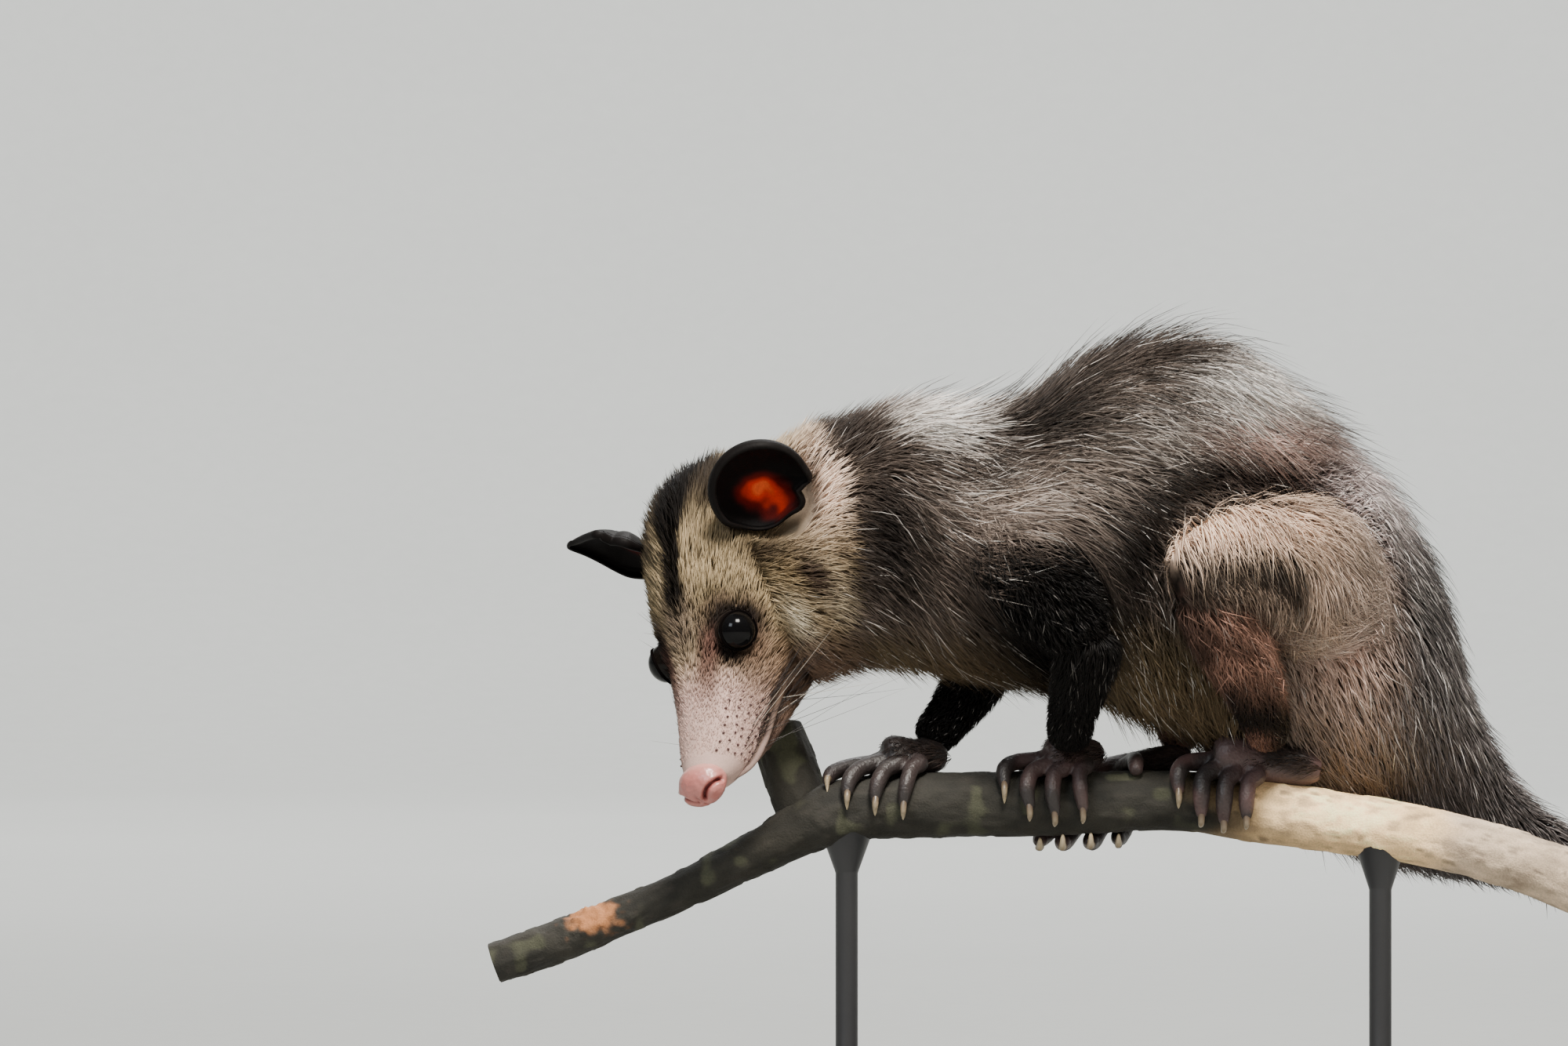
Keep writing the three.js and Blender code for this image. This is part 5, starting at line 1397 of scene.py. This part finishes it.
def whiskers(count, place, heights, length, width, back, tints):
    """Blades from roots at a place towards the nose and an angle down the side, on both sides,
    and their colours: root + way * length * s + (back and down) * bend * length * s squared. The
    right side's are shorter, to stay within the solids' box."""
    s = np.linspace(0, 1, WHISKER_STATIONS)
    t = skull_place(within(*place, count))
    sign = np.where(rng.random(count) < 0.5, 1.0, -1.0)
    lean = np.radians(within(*heights, count))
    angle = np.where(sign > 0, lean, math.pi - lean)
    inset = coat_depth(skull, t) + 0.5
    root = form_point(skull, t, angle, inset)
    _, _, out = form_slopes(skull, t, angle, inset)
    way = unit(out + -NOSE_WARD * within(*back, count)[:, None] + rng.normal(0, 0.12, (count, 3)))
    long = within(*length, count) * np.where(sign > 0, 1.0, 0.6)
    bend = unit(-NOSE_WARD * 0.6 + np.array([0, 0, -0.5])) * within(0.1, 0.35, count)[:, None]
    lines = way[:, None] * s[:, None] + bend[:, None] * (s**2)[:, None]
    lines = root[:, None] + lines * long[:, None, None]
    normals = np.repeat(out[:, None], WHISKER_STATIONS, 1)
    points = blade_points(lines, normals, np.full(count, width), 1 - 0.93 * s, 0.8)
    tint = np.asarray(tints)[rng.integers(0, len(tints), count)]
    tint = np.repeat(tint, 3 * (WHISKER_STATIONS - 1) + 1, axis=0)
    return (points, blade_faces(count, WHISKER_STATIONS)), tint


PALE_HAIR, DARK_HAIR = (0.42, 0.37, 0.31), (0.02, 0.015, 0.013)
tufts = [
    whiskers(46, (14, 44), (-62, -8), (28, 70), 0.12, (0.5, 1.4), (PALE_HAIR, *[DARK_HAIR] * 4)),
    whiskers(70, (12, 42), (-60, 40), (2.5, 8), 0.15, (1.0, 1.8), (DARK_HAIR,)),
    whiskers(18, (14, 34), (-45, 50), (14, 30), 0.12, (2.8, 5.0), (DARK_HAIR,)),
    whiskers(16, (-30, -14), (-40, -12), (30, 62), 0.13, (0.3, 1.0), (*[DARK_HAIR] * 2, PALE_HAIR)),
    whiskers(10, (-8, 4), (48, 66), (14, 30), 0.15, (0.4, 1.2), (DARK_HAIR,)),
]
whisker_finish = finish_of("whisker", 0.4, strength=0.05, bump=0)
shapes, tints = zip(*tufts)
dress(mesh_piece("whiskers", gather(shapes), np.concatenate(tints)), whisker_finish, "face_coat")

# the roots of the whiskers show as rows of dark dots, each a low dome on the skin
row, place = np.meshgrid(np.arange(6), np.arange(8), indexing="ij")
row, place = row.ravel(), place.ravel()
dot_t = skull_place(21 + 3.1 * place + 0.8 * (row % 2))
dot_angle = np.radians(-46 + 15 * row + 0.8 * place) + rng.normal(0, 0.03, row.size)
dots = []
for angle in (dot_angle, math.pi - dot_angle):
    middle = form_point(skull, dot_t, angle, coat_depth(skull, dot_t) - 0.35)
    dots += [ball_shell(p, [0.5, 0.5, 0.5], 5, 6) for p in middle]
dots = gather(dots)
dot_colour = np.tile((0.07, 0.03, 0.028), (len(dots[0]), 1))
dress(mesh_piece("whisker_roots", dots, dot_colour), whisker_finish, "face_coat")

# %% [markdown]
# ## Branch
# The perch is a cut length of living branch with a forked stub. It is a tube along a smooth line.
# Bark is roughened by noise that is stretched along the wood, so it reads as ridges and flakes,
# with a few knots and a torn scar. Its ends are sawn flat and show pale wood with rings.


# %% Branch
# middle and radius
BRANCH_LINE = np.array([
    (-238, 7, -57, 7.2), (-216, 6, -49.5, 7.8), (-194, 4, -41, 7), (-165, 2, -28, 7.2),
    (-142, 1, -16.5, 8), (-120, 0, -4.5, 11), (-98, 0, -0.5, 11.6), (-59, 0, 0, 11.4),
    (-22, 0, 0.8, 10.9), (6, 0, 1.4, 10.4), (36, -2, -2.5, 11.2), (65, -6, -6.5, 10.9),
    (93, -12, -11, 10.4), (120, -18, -17.5, 10.4), (146, -24, -27, 10.6), (172, -30, -39, 10.4),
]) + (0, 0, PERCH_HEIGHT, 0)
STUB_LINE = np.array([(-126, 2, -8, 9), (-131, 8, 8, 10), (-137, 14, 26, 9.4)])
STUB_LINE = STUB_LINE + (0, 0, PERCH_HEIGHT, 0)
# middle, size and height
KNOTS = [((6, -6, 6), 5.0, 2.2), ((-204, 2, -42), 7.0, 1.6), ((-72, -9, 4), 5.0, 1.2),
         ((96, -18, -4), 6.0, 1.3), ((-158, -2, -22), 5.0, 1.6), ((44, -11, -8), 4.0, 1.0),
         ((-118, -8, -10), 8.0, 1.4)]
SCAR = (-203, 0, -40)
# shares to which the last ring of the bark shrinks on the sawn ends
END_SHARES = np.array([0.93, 0.8, 0.62, 0.42, 0.22])


def bark_tube(rows, rings, sides, seed):
    """Tube whose surface is moved out by ridges, lumps, cracks and knots, its ends closed by
    rings that shrink to the middle. Also the share of wood, of crack and of scar at each point,
    and the grain that varies its colour."""
    middle, side, up = line_frames(rows, np.linspace(0, len(rows) - 1, rings), (0.02, 0.99, 0.12))
    angle = np.arange(sides) * TURN / sides
    cos, sin = np.cos(angle), np.sin(angle)
    ring = side[:, None] * cos[:, None] + up[:, None] * sin[:, None]
    skin = middle[:, None, :3] + ring * middle[:, None, 3:4]
    run = along_line(middle[:, :3])
    stretched = np.stack(np.broadcast_arrays(
        run[:, None] * 0.3, cos * middle[:, 3:4], sin * middle[:, 3:4]), -1)
    ridges = lumps(stretched, 1.7, seed)
    flakes = lumps(stretched * (2.0, 1, 1), 3.2, seed + 1)
    crack = soft_step(0.34, 0.62, np.abs(ridges)) * soft_step(0.0, 0.5, flakes)
    rise = 0.55 * lumps(stretched, 7.0, seed + 2) + 0.28 * ridges
    rise = rise + 0.35 * soft_step(0.1, 0.3, flakes) - 0.3 * crack
    for place, size, height in KNOTS:
        off = np.linalg.norm(skin - over_perch(place), axis=-1) / size
        rise = rise + height * np.exp(-(off**2) * 2) * (1 - 0.7 * np.exp(-((off * 3) ** 2)))
    off = np.linalg.norm((skin - over_perch(SCAR)) * (0.6, 1, 1), axis=-1) / 8.5
    scar = np.exp(-(off**2) * 1.6)
    rise = rise + scar * 1.1 * lumps(skin, 1.6, seed + 5)
    skin = skin + ring * rise[..., None]
    start, end = (middle[n, :3] + (skin[n] - middle[n, :3]) * shares[:, None, None]
                  for n, shares in ((0, END_SHARES[::-1]), (-1, END_SHARES)))
    points, polygons = closed_grid(np.concatenate([start, skin, end]))
    masks = np.tile((1.0, 0.0, 0.0), (len(points), 1))
    inner = slice(len(END_SHARES) * sides, (len(END_SHARES) + rings) * sides)
    masks[inner] = np.stack([np.zeros((rings, sides)), crack, scar], -1).reshape(-1, 3)
    grain = np.zeros(len(points))
    grain[inner] = (0.5 * flakes + 0.3 * ridges).ravel()
    return points, polygons, masks, grain


def bark_tone(points, masks, grain):
    """Bark very dark to the left, as painted shade, and bare and pale to the right, brightened
    there by painted sunlight, greenish in places, dark in its cracks and orange in the scar. The
    sawn ends show rings: 0.5 + 0.5 * sin(distance from the middle)."""
    x = points[:, 0]
    patch = lumps(points * (0.4, 1, 1), 9.0, 21)
    # very dark bark to the left as painted shade, pale bark to the right brightened by painted
    # sunlight
    pale = soft_step(8, 60, x + 14 * patch)
    tone = blend((0.021, 0.019, 0.014), (0.99, 0.68, 0.36), pale)
    tone = blend(tone, (0.42, 0.34, 0.27), 0.8 * soft_step(88, 112, x + 16 * patch))
    tone = tone * (1 + 0.35 * patch + 0.5 * grain)[:, None]
    green = soft_step(0.35, 0.7, lumps(points, 6.0, 31)) * (1 - pale)
    tone = blend(tone, (0.085, 0.088, 0.05), 0.5 * green)
    flecks = soft_step(0.2, 0.7, lumps(points * (0.35, 1, 1), 2.2, 33)) * pale
    tone = blend(tone, (0.22, 0.16, 0.11), 0.5 * flecks)
    tone = blend(tone, (0.03, 0.025, 0.02), 0.6 * masks[:, 1])
    scar = soft_step(0.25, 0.7, masks[:, 2] + 0.25 * lumps(points, 2.0, 8))
    tone = blend(tone, (0.42, 0.17, 0.065), scar)
    rings = 0.5 + 0.5 * np.sin(np.linalg.norm(points - points.mean(0), axis=1) * 3.0)
    wood = blend((0.50, 0.37, 0.22), (0.36, 0.24, 0.13), 0.5 * rings)
    return np.where(masks[:, :1] > 0.5, wood, tone)


main = bark_tube(BRANCH_LINE, 500, 72, 40)
stub = bark_tube(STUB_LINE, 70, 72, 60)
bark_finish = finish_of("bark", 0.86, patch=90.0, grain=1500.0, strength=0.3, bump=0.6,
                        depth=0.0005)
branch_shape = gather([main[:2], stub[:2]])
branch_tone = np.concatenate([bark_tone(main[0], *main[2:]), bark_tone(stub[0], *stub[2:])])
dress(mesh_piece("branch_bark", branch_shape, branch_tone), bark_finish, "bark", "perch_branch")

# %% [markdown]
# ## Hands and feet
# Each hand or foot lies on the bark and closes round it. A palm and five digits are tubes along
# the bark, fused by a fine voxel remesh so that the webs between them are soft. The claws are
# separate, curved and horn-coloured, and start well inside the fingertips.


# %% Hands and feet
# radii from the root of a digit to its tip
SLIM, MIDDLE = (3.4, 3.2, 2.8, 2), (3.6, 3.4, 3, 2.1)
FIRST, LONG_TOE, WIDE_TOE = (4.2, 4, 3.6, 3), (3.8, 3.6, 3.2, 2.2), (4.2, 4, 3.6, 2.6)
# a paw: along the branch and round it from heel to knuckles, radii of its palm, and its digits
# from the first to the fifth: along the branch, degrees round it, radii
PAWS = {
    "hand_left": ((-24, -38), (-4, 14), (6.4, 7), [
        ((-37, -46, -49, -49), (-30, -38, -58, -80), SLIM),
        ((-43, -52, -56, -56), (2, 12, 34, 58), MIDDLE),
        ((-40, -46, -48, -47), (24, 40, 66, 90), MIDDLE),
        ((-34, -38, -39, -38), (28, 46, 74, 100), MIDDLE),
        ((-27, -29, -29, -28), (22, 42, 70, 96), SLIM)]),
    "hand_right": ((-80, -96), (-14, 0), (6.2, 6.8), [
        ((-95, -101, -103, -103), (-34, -48, -70, -92), SLIM),
        ((-102, -111, -117, -119), (-14, -6, 6, 22), MIDDLE),
        ((-100, -107, -111, -112), (8, 22, 42, 62), MIDDLE),
        ((-93, -98, -101, -102), (16, 32, 54, 76), MIDDLE),
        ((-86, -89, -91, -92), (14, 34, 60, 84), SLIM)]),
    "foot_left": ((51, 24), (2, 14), (7, 8), [
        ((31, 27, 25, 24), (-34, -58, -86, -112), FIRST),
        ((17, 9, 6, 6), (6, 20, 46, 72), LONG_TOE),
        ((20, 15, 14, 14), (28, 48, 78, 104), LONG_TOE),
        ((26, 23, 22, 22), (32, 54, 82, 108), LONG_TOE),
        ((34, 31, 30, 30), (30, 50, 76, 98), MIDDLE)]),
    "foot_right": ((6, -18), (-34, -66), (6.8, 7.6), [
        ((-10, -9, -9, -9), (-26, -4, 18, 36), (3.6, 3.4, 3, 2.6)),
        ((-26, -35, -41, -43), (-88, -112, -138, -160), WIDE_TOE),
        ((-23, -30, -34, -35), (-98, -126, -154, -180), WIDE_TOE),
        ((-15, -21, -24, -25), (-100, -128, -156, -182), WIDE_TOE),
        ((-7, -11, -14, -15), (-94, -120, -148, -172), (4, 3.8, 3.4, 2.4))]),
}
# place from heel to knuckles, and width there as a share of the palm's
PALM_SHAPE = np.array([(-0.22, 0.55), (0, 0.95), (0.5, 0.98), (1, 1.12), (1.2, 0.7)])
PALM_HEIGHT, PAW_RISE = 0.82, 0.6
# thickness of a digit from its root in the palm to its tip, as shares of its radii
DIGIT_SHARES = np.array([1.0, 0.98, 0.88, 0.98, 0.95, 0.5])
CLAW_SHARES = np.array([0.6, 0.52, 0.26, 0.04])
CLAW_SIDES = 12
PAW_COAT = 0.9
branch_dense = smooth_rows(BRANCH_LINE, np.linspace(0, len(BRANCH_LINE) - 1, 600))


def branch_at(x):
    """Middle and radius of the branch at places along X, read between its closest points."""
    return [np.interp(x, branch_dense[:, 0], branch_dense[:, n]) for n in (1, 2, 3)]


def on_branch(x, degrees, height):
    """Points over the bark: the branch's middle at x, plus (radius + height) turned round it,
    where 0 is on top and a quarter turn is the viewer's side."""
    y, z, radius = branch_at(x)
    a, r = np.radians(degrees), radius + np.asarray(height, float)
    return np.stack([np.broadcast_to(x, np.shape(r)), y - np.sin(a) * r, z + np.cos(a) * r], -1)


def between(pair, s):
    """Value at a share of the way from the first of a pair to the second."""
    return pair[0] + (pair[1] - pair[0]) * np.asarray(s, float)


def palm(palm_x, palm_turn, palm_radius):
    """Line of the palm from heel to knuckles, and its half width there."""
    s, share = PALM_SHAPE.T
    radius = between(palm_radius, s)
    height = radius * PALM_HEIGHT + PAW_RISE
    return on_branch(between(palm_x, s), between(palm_turn, s), height), radius * share * 0.95


def paw_shapes(palm_x, palm_turn, palm_radius, digits, bare_first):
    """Shells of the palm and digits, and of the claws. A foot's first toe has no claw."""
    line, wide = palm(palm_x, palm_turn, palm_radius)
    shells = [closed_grid(tube_rings(line, wide, 20, 8, 0.8))]
    claws = []
    knuckle = on_branch(palm_x[1], palm_turn[1], palm_radius[1] * PALM_HEIGHT + PAW_RISE)
    for n, (x, turn, radii) in enumerate(digits):
        x, turn, radii = (np.asarray(v, float) for v in (x, turn, radii))
        toe = on_branch(x, turn, radii + PAW_RISE)
        root = knuckle + (toe[0] - knuckle) * 0.3
        end = on_branch(x[3], turn[3] + 0.28 * (turn[3] - turn[2]), radii[3] + PAW_RISE)
        thickness = np.array([radii[0], *radii, radii[3]]) * DIGIT_SHARES
        shells.append(closed_grid(tube_rings(np.stack([root, *toe, end]), thickness, 16, 6)))
        if n == 0 and bare_first:
            continue
        last = turn[2] + 1.95 * (turn[3] - turn[2])
        hook = np.stack([
            toe[3] + 0.3 * (toe[2] - toe[3]),
            on_branch(x[3], between((turn[3], last), 0.5), radii[3] + PAW_RISE + 1.5),
            on_branch(x[3], last, PAW_RISE + 1.3), on_branch(x[3], last + 6, PAW_RISE + 0.5)])
        claws.append(closed_grid(tube_rings(hook, radii[3] * CLAW_SHARES, CLAW_SIDES, 7, 1.25)))
    return shells, claws


def palm_tufts(name, palm_x, palm_turn, palm_radius):
    """Short dark hair on the back of a hand or foot, from its heel towards the knuckles."""
    line, wide = palm(palm_x, palm_turn, palm_radius)
    wide, low = wide + PAW_COAT, line - (0, 0, PERCH_HEIGHT)
    form = limb(np.column_stack([low, wide, wide * 0.85, np.ones(len(wide))]))
    t, angle = scatter(form, 1500, (0.2, len(form) - 2.3))
    root = form_point(form, t, angle, PAW_COAT)
    along, _, out = form_slopes(form, t, angle, PAW_COAT)
    away = np.linalg.norm(root - line[0], axis=1)
    keep = (out[:, 2] > -0.35) & (rng.random(len(t)) < soft_step(34, 12, away))
    t, angle, root, along, out, away = (v[keep] for v in (t, angle, root, along, out, away))
    flow = unit(along) + rng.normal(0, 0.15, (len(t), 3)) + (0, 0, -0.3)
    long = within(3.0, 6.0, len(t)) * (0.6 + 0.7 * soft_step(20, 0, away))
    lines, normals = walk(form, t, angle, flow, long, within(0.6, 2.0, len(t)), SHORT)
    tone = blend((0.022, 0.016, 0.014), (0.11, 0.075, 0.06), 0.4 * rng.random(len(t)))
    limb_name = name.replace("hand", "forearm").replace("foot", "shank")
    lines = sway(lines, normals, 0.12)
    wide = within(0.10, 0.2, len(t))
    paw_coat.add(limb_name, t, angle, lines, normals, wide, np.stack([tone] * 3, 1))


paw_coat = Strands(SHORT)
paw_finish = finish_of("paw skin", 0.46, patch=150.0, grain=1100.0, strength=0.25, bump=0.75,
                       depth=0.0004)
claw_finish = finish_of("claw horn", 0.35, patch=300.0, grain=1500.0, strength=0.15, bump=0.1)
PINK_SHEEN_SHARE = {"hand_left": 0.3, "hand_right": 0.1, "foot_left": 0.6, "foot_right": 0.3}
for name, (*palm_rows, digits) in PAWS.items():
    shells, claws = paw_shapes(*palm_rows, digits, name.startswith("foot"))
    palm_tufts(name, *palm_rows)
    points, polygons = fused(shells, 0.62, 2)
    points = points + 0.12 * lumps(points, 1.6, 5)[:, None] * unit(points - points.mean(0))
    # painted sheen: pinkish patches on the dark skin
    pink = soft_step(-0.6, 0.7, lumps(points, 8.0, 9)) * PINK_SHEEN_SHARE[name]
    tone = blend((0.024, 0.019, 0.018), (0.15, 0.082, 0.076), pink)
    dress(mesh_piece(f"{name}_skin", (points, polygons), tone), paw_finish, "paw_skin", name)
    rings = (len(claws[0][0]) - 2) // CLAW_SIDES
    way = np.append(np.repeat(np.linspace(0, 1, rings), CLAW_SIDES), (0, 1))
    way = np.tile(way, len(claws))
    tone = blend((0.10, 0.07, 0.05), (0.55, 0.44, 0.28), soft_step(0.1, 0.7, way))
    dress(mesh_piece(f"{name}_claws", gather(claws), tone), claw_finish, "paw_skin")
paw_coat.pieces("coat_paws", "dark_coat")

# %% [markdown]
# ## Tail
# Past its furry root the tail is bare, ringed with small scales, black at first and then a pale
# pinkish white. It is a tube along a line that hangs, swings up and ends in an open curl. The
# scales are a staggered pattern on the tube's own unwrap, counted round and along it.


# %% Tail
TAIL_LINE = over_perch([
    (158.5, 21, -30.5), (176, 18, -50), (194, 12, -78), (208, 6, -106), (227, 0, -130),
    (254, -5, -141), (280, -6, -130), (290, -3, -106), (278, 1, -87), (260, 4, -89), (252, 5, -101),
])
TAIL_RADIUS = np.array([8.4, 7.9, 7.2, 6.5, 5.8, 5.1, 4.5, 3.9, 3.3, 2.7, 1.6])
TAIL_SIDES = 48
tail_rings = tube_rings(TAIL_LINE, TAIL_RADIUS, TAIL_SIDES, 40)
# the tip is a half ball: rings moved on by radius * sin and shrunk by cos
tip_turn = (np.linspace(0.15, 1, 8) * math.pi / 2)[:, None, None]
before, end = tail_rings[-2].mean(0), tail_rings[-1].mean(0)
tip = end + unit(end - before) * (TAIL_RADIUS[-1] * np.sin(tip_turn))
tip = tip + (tail_rings[-1] - end) * np.cos(np.minimum(tip_turn, 1.5))
tail_rings = np.concatenate([tail_rings, tip])
tail_points, tail_polygons = closed_grid(tail_rings)
run = along_line(tail_rings.mean(1))
run = np.append(np.repeat(run, TAIL_SIDES), (run[0], run[-1]))
around = np.append(np.tile(np.arange(TAIL_SIDES) / TAIL_SIDES, len(tail_rings)), (0, 0))
pale = soft_step(116, 124, run + 7 * lumps(tail_points, 8.0, 13))
tail_tone = blend((0.035, 0.028, 0.026), (0.60, 0.46, 0.39), pale)
tail_tone = tail_tone * (1 + 0.12 * lumps(tail_points, 6.0, 17))[:, None]


def scaly(name, roughness):
    """Tail finish: the common one, with rows of staggered scales from the pattern map added as
    a bump of one less the joints between them."""
    material = finish_of(name, roughness, patch=150.0, grain=1800.0, strength=0.15, bump=0.2)
    tree, links = material.node_tree, material.node_tree.links
    where = node(tree, "UVMap")
    where.uv_map = "pattern"
    scales = node(tree, "TexBrick", Scale=1.0, Mortar_Size=0.06, Mortar_Smooth=0.6, Brick_Width=1.0,
                  Row_Height=1.0)
    dip = node(tree, "Math", "SUBTRACT", Value=1.0)
    bump = node(tree, "Bump", Strength=0.8, Distance=0.0003)
    links.new(where.outputs["UV"], scales.inputs["Vector"])
    links.new(scales.outputs["Fac"], dip.inputs[1])
    links.new(dip.outputs[0], bump.inputs["Height"])
    links.new(tree.nodes["Bump"].outputs["Normal"], bump.inputs["Normal"])
    links.new(bump.outputs["Normal"], tree.nodes["Principled BSDF"].inputs["Normal"])
    return material


SCALES_ROUND = 20
SCALE_ROW = 1.7
tail_finish = scaly("scaly tail skin", 0.5)
tail = mesh_piece("tail_skin", (tail_points, tail_polygons), tail_tone,
                  other_uv=np.stack([around * SCALES_ROUND, run / SCALE_ROW], 1))
pattern = tail.data.uv_layers["pattern"].data
corner_uv = np.empty(len(pattern) * 2, np.float32)
pattern.foreach_get("uv", corner_uv)
corner_uv = corner_uv.reshape(-1, 2)
# the faces that close the turn would run back over the whole pattern, so they run on past it
quads = corner_uv[: 4 * (len(tail_rings) - 1) * TAIL_SIDES].reshape(-1, 4, 2)
round_it = quads[..., 0]
round_it += SCALES_ROUND * (round_it < round_it.max(1, keepdims=True) - SCALES_ROUND / 2)
pattern.foreach_set("uv", corner_uv.ravel())
dress(tail, tail_finish, "tail_pale", "tail_root_length", "tail_middle_length", "tail_tip_length")

# %% [markdown]
# ## Stand
# The stand is plain painted metal: a flat base with rounded, softened edges, and two rods that
# end in a cup under the branch. Both are profiles: the base carries one round its outline, and
# each rod turns one round its axis.


# %% Stand
BASE_SIZE = (260.0, 150.0)
BASE_CORNER = 14.0
stand_finish = finish_of("satin painted metal", 0.42, patch=40.0, grain=2600.0, strength=0.08,
                         bump=0.12, colour=(0.032, 0.032, 0.034), Metallic=0.3)


def slab_ring(inset, z):
    """Outline of a rectangle with round corners, moved in by an inset, at a height."""
    per = 12
    angle = (np.repeat(np.arange(4), per) + np.tile(np.linspace(0, 1, per), 4)) * math.pi / 2
    way = np.stack([np.cos(angle), np.sin(angle)], 1)
    corner = np.sign(way[per // 2 - 1::per]).repeat(per, axis=0)
    outline = corner * (np.array(BASE_SIZE) / 2 - BASE_CORNER) + (BASE_CORNER - inset) * way
    return np.column_stack([outline, np.full(len(angle), z)])


# inset and height of the base's outline, from its underside to its top
EDGE = [(0.6, 0.0), (0.15, 0.25), (0.0, 0.8), (0.0, 10.6), (0.25, 11.3), (0.8, 11.8), (1.5, 12.0)]
slab = closed_grid(np.stack([slab_ring(inset, z) for inset, z in EDGE]))
dress(mesh_piece("base_slab", slab, smooth=False), stand_finish, "stand_metal", "stand_base")


def turned(profile, sides, x=0.0, y=0.0):
    """Profile of radius and height turned round an upright axis at x and y."""
    radius, z = np.asarray(profile, float).T
    angle = np.arange(sides) * TURN / sides
    ring = np.stack([np.cos(angle), np.sin(angle), np.zeros(sides)], 1)
    axis = np.stack([np.full(len(z), x), np.full(len(z), y), z], 1)
    return closed_grid(ring * radius[:, None, None] + axis[:, None])


for name, x in (("front", -112.0), ("rear", 78.0)):
    y, z, radius = branch_at(x)
    low, cup = z - radius - 11, z - 5
    profile = [(10.6, 12.1), (11, 12.5), (10.9, 13.2), (9.3, 16.4), (8.9, 17), (4.6, 17.1),
               (4, 17.8), (4, low), (4.3, low + 1), (radius - 1.4, cup - 0.6), (radius - 1, cup),
               (radius - 2, cup + 0.3)]
    rod = mesh_piece(f"rod_{name}", turned(profile, 40, x, y))
    dress(rod, stand_finish, "stand_metal", f"stand_rod_{name}")

# %% [markdown]
# ## Floor and light
# A pale round floor bends up into a wall far away on every side. One large soft light stands high
# before the animal and casts the shadows. Two weaker ones fill them, one from the left and one low
# from the right, another from above and behind draws a rim along the back, and one lights the wall.


# %% Floor and light
def backdrop():
    """Floor and wall: a profile of radius and height turned round the upright axis."""
    sides = 96
    turn = np.linspace(0, math.pi / 2, 14)
    bend = np.stack([5500 + 2000 * np.sin(turn), 2000 - 2000 * np.cos(turn)], 1)
    profile = np.concatenate([[(1, 0), (2000, 0), (5200, 0)], bend, [(7500, 6500)]])
    points, polygons = turned(profile, sides)
    # its faces are seen from within, and it has no lid
    return points, [polygons[0][:, ::-1], polygons[1][:sides, ::-1]]


floor_finish = finish_of("pale floor", 0.8, patch=2.0, grain=60.0, strength=0.03, bump=0,
                         colour=(0.33, 0.335, 0.32))
floor = mesh_piece("floor", backdrop())
floor.data.materials.append(floor_finish)


def soft_light(name, place, aim, size, watts, tint=(1, 1, 1), glint=True):
    """Square light at a place, turned to face the aim, with or without a glint in the eye."""
    light = bpy.data.lights.new(name, "AREA")
    light.size = size
    light.energy = watts
    light.color = tint
    lamp = bpy.data.objects.new(name, light)
    lamp.location = place
    lamp.visible_glossy = glint
    way = np.asarray(aim, float) - np.asarray(place, float)
    flat = math.hypot(way[0], way[1])
    lamp.rotation_euler = (math.atan2(flat, -way[2]), 0.0, math.atan2(way[1], way[0]) - math.pi / 2)
    bpy.context.scene.collection.objects.link(lamp)


AIM = (-0.05, 0.0, 0.24)
soft_light("key", (0.15, -1.0, 1.95), AIM, 0.55, 97, (1.0, 0.95, 0.87))
soft_light("fill", (-1.15, -1.5, 1.35), AIM, 0.6, 15, (0.84, 0.92, 1.0))
soft_light("low fill", (0.9, -1.5, 0.7), AIM, 0.8, 9, (1.0, 0.95, 0.9), glint=False)
soft_light("rim", (0.5, 1.1, 1.7), AIM, 0.8, 24)
soft_light("wall", (0.0, 3.2, 4.6), (0.0, 7.5, 0.6), 3.0, 850)
world = bpy.data.worlds.new("room")
world.use_nodes = True
background = world.node_tree.nodes["Background"]
background.inputs["Color"].default_value = (0.9, 0.94, 1.0, 1.0)
background.inputs["Strength"].default_value = 0.22
bpy.context.scene.world = world
print("lights", len(bpy.data.lights))
